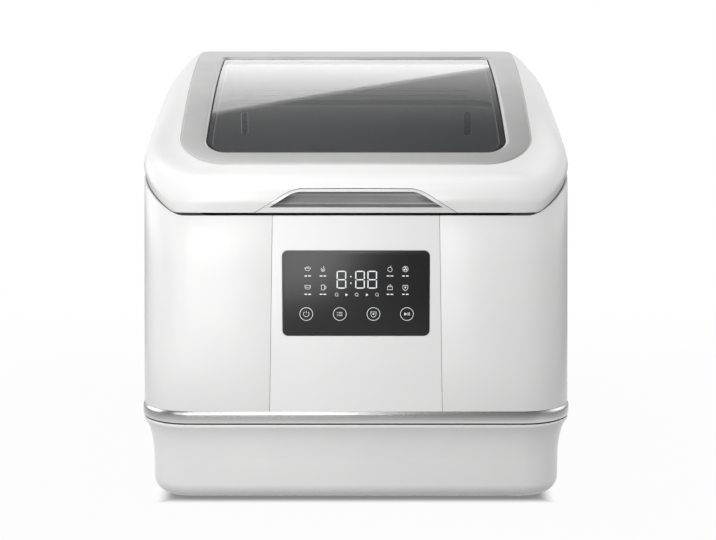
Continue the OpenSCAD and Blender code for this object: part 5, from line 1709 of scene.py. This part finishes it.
    def floor(self) -> None:
        """Pale floor: white to the camera away from the machine, with a soft shadow round it.

        Metal and glass show it white close by, and as it is lit further away.
        """
        Bench.clear()
        bpy.ops.mesh.primitive_plane_add(size=self.floor_size, location=(0, 0, -self.floor_drop))
        floor = Bench.named("studio_floor")
        material = bpy.data.materials.new("studio_floor")
        material.use_nodes = True
        n = Nodes(material.node_tree)
        shader = material.node_tree.nodes["Principled BSDF"]
        shader.inputs["Base Color"].default_value = (*[self.floor_tone] * 3, 1)
        shader.inputs["Roughness"].default_value = 0.9
        shader.inputs["Specular IOR Level"].default_value = 0.1
        white = n.add("ShaderNodeEmission", Color=(1, 1, 1, 1), Strength=1.0)
        place = n.add("ShaderNodeTexCoord")
        size = n.add("ShaderNodeVectorMath", operation="ABSOLUTE")
        n.link(place.outputs["Object"], size.inputs[0])
        axes = n.add("ShaderNodeSeparateXYZ")
        n.link(size.outputs["Vector"], axes.inputs[0])
        reach = self.combine(n, "MAXIMUM", axes.outputs["X"], axes.outputs["Y"])
        near = self.combine(n, "MULTIPLY", self.fade(n, reach, *self.CONTACT),
                            self.fade(n, reach, *self.BEYOND))
        looked = self.combine(n, "MULTIPLY", self.seen(n, "Is Camera Ray", "Is Transmission Ray"), near)
        mirrored = self.combine(n, "MULTIPLY", self.seen(n, "Is Glossy Ray"),
                                self.fade(n, reach, *self.MIRRORED))
        self.blend(n, self.combine(n, "MAXIMUM", looked, mirrored), shader.outputs[0], white.outputs[0],
                   "Material Output")
        floor.data.materials.append(material)

    def world(self) -> None:
        """Soft light, with what metal and glass show: a white backdrop, a dimmer ceiling and a dim front."""
        world = bpy.data.worlds.new("studio")
        bpy.context.scene.world = world
        world.use_nodes = True
        n = Nodes(world.node_tree)
        soft = world.node_tree.nodes["Background"]
        soft.inputs["Color"].default_value = (1, 1, 1, 1)
        soft.inputs["Strength"].default_value = self.daylight
        place = n.add("ShaderNodeTexCoord")
        axes = n.add("ShaderNodeSeparateXYZ")
        n.link(place.outputs["Generated"], axes.inputs[0])
        ceiling = self.fade(n, axes.outputs["X"], *self.SIDEWAYS)
        backdrop = self.combine(n, "MULTIPLY", self.fade(n, axes.outputs["Y"], *self.FORWARD),
                                self.fade(n, axes.outputs["Z"], *self.UPWARD, ceiling))
        shown = self.combine(n, "MAXIMUM", backdrop, self.seen(n, "Is Camera Ray", "Is Transmission Ray"))
        white = n.add("ShaderNodeBackground", Color=(1, 1, 1, 1))
        n.link(shown, white.inputs["Strength"])
        self.blend(n, self.seen(n, "Is Camera Ray", "Is Glossy Ray", "Is Transmission Ray"), soft.outputs[0],
                   white.outputs[0], "World Output")

    def card(self) -> None:
        """Slanted bright card behind the machine, which the window shows as a reflection."""
        left, right, size, watts = self.CARD
        a, b = Vector(left), Vector(right)
        along = (b - a).normalized()
        away = Vector((along.y, -along.x))
        middle = (a + b) / 2 + away * size[1] / 2
        card = self.panel("rear_card", size, watts)
        facing = Matrix(((along.x, along.y, 0), (0, 0, 1), (along.y, -along.x, 0)))
        card.matrix_world = Matrix.Translation((middle.x, self.card_y, middle.y)) @ facing.to_4x4()
        card.light_linking.receiver_collection = bpy.data.collections.new("mirrored_card")

    def lamps(self) -> None:
        """Panels overhead and at both sides, small near lamps before the front, and the reflected card."""
        for name, place, aim, size, watts in self.LAMPS:
            lamp = self.panel(name, size, watts)
            lamp.location = place
            lamp.rotation_euler = (Vector(aim) - Vector(place)).to_track_quat("-Z", "Y").to_euler()
        self.card()

    def build(self) -> None:
        """Sets up the studio."""
        self.camera()
        self.floor()
        self.world()
        self.lamps()
        bpy.context.scene.view_settings.view_transform = "Standard"


def main() -> None:
    """Builds the studio and every sub-assembly in order."""
    logging.basicConfig(level=logging.INFO, format="%(name)s: %(message)s")
    Studio().build()
    for part in (Body(), Display(), Lid(), Carried()):
        part.build()
        LOG.info("%s: %d pieces", type(part).__name__, len(part.pieces))


if __name__ == "__main__":
    main()
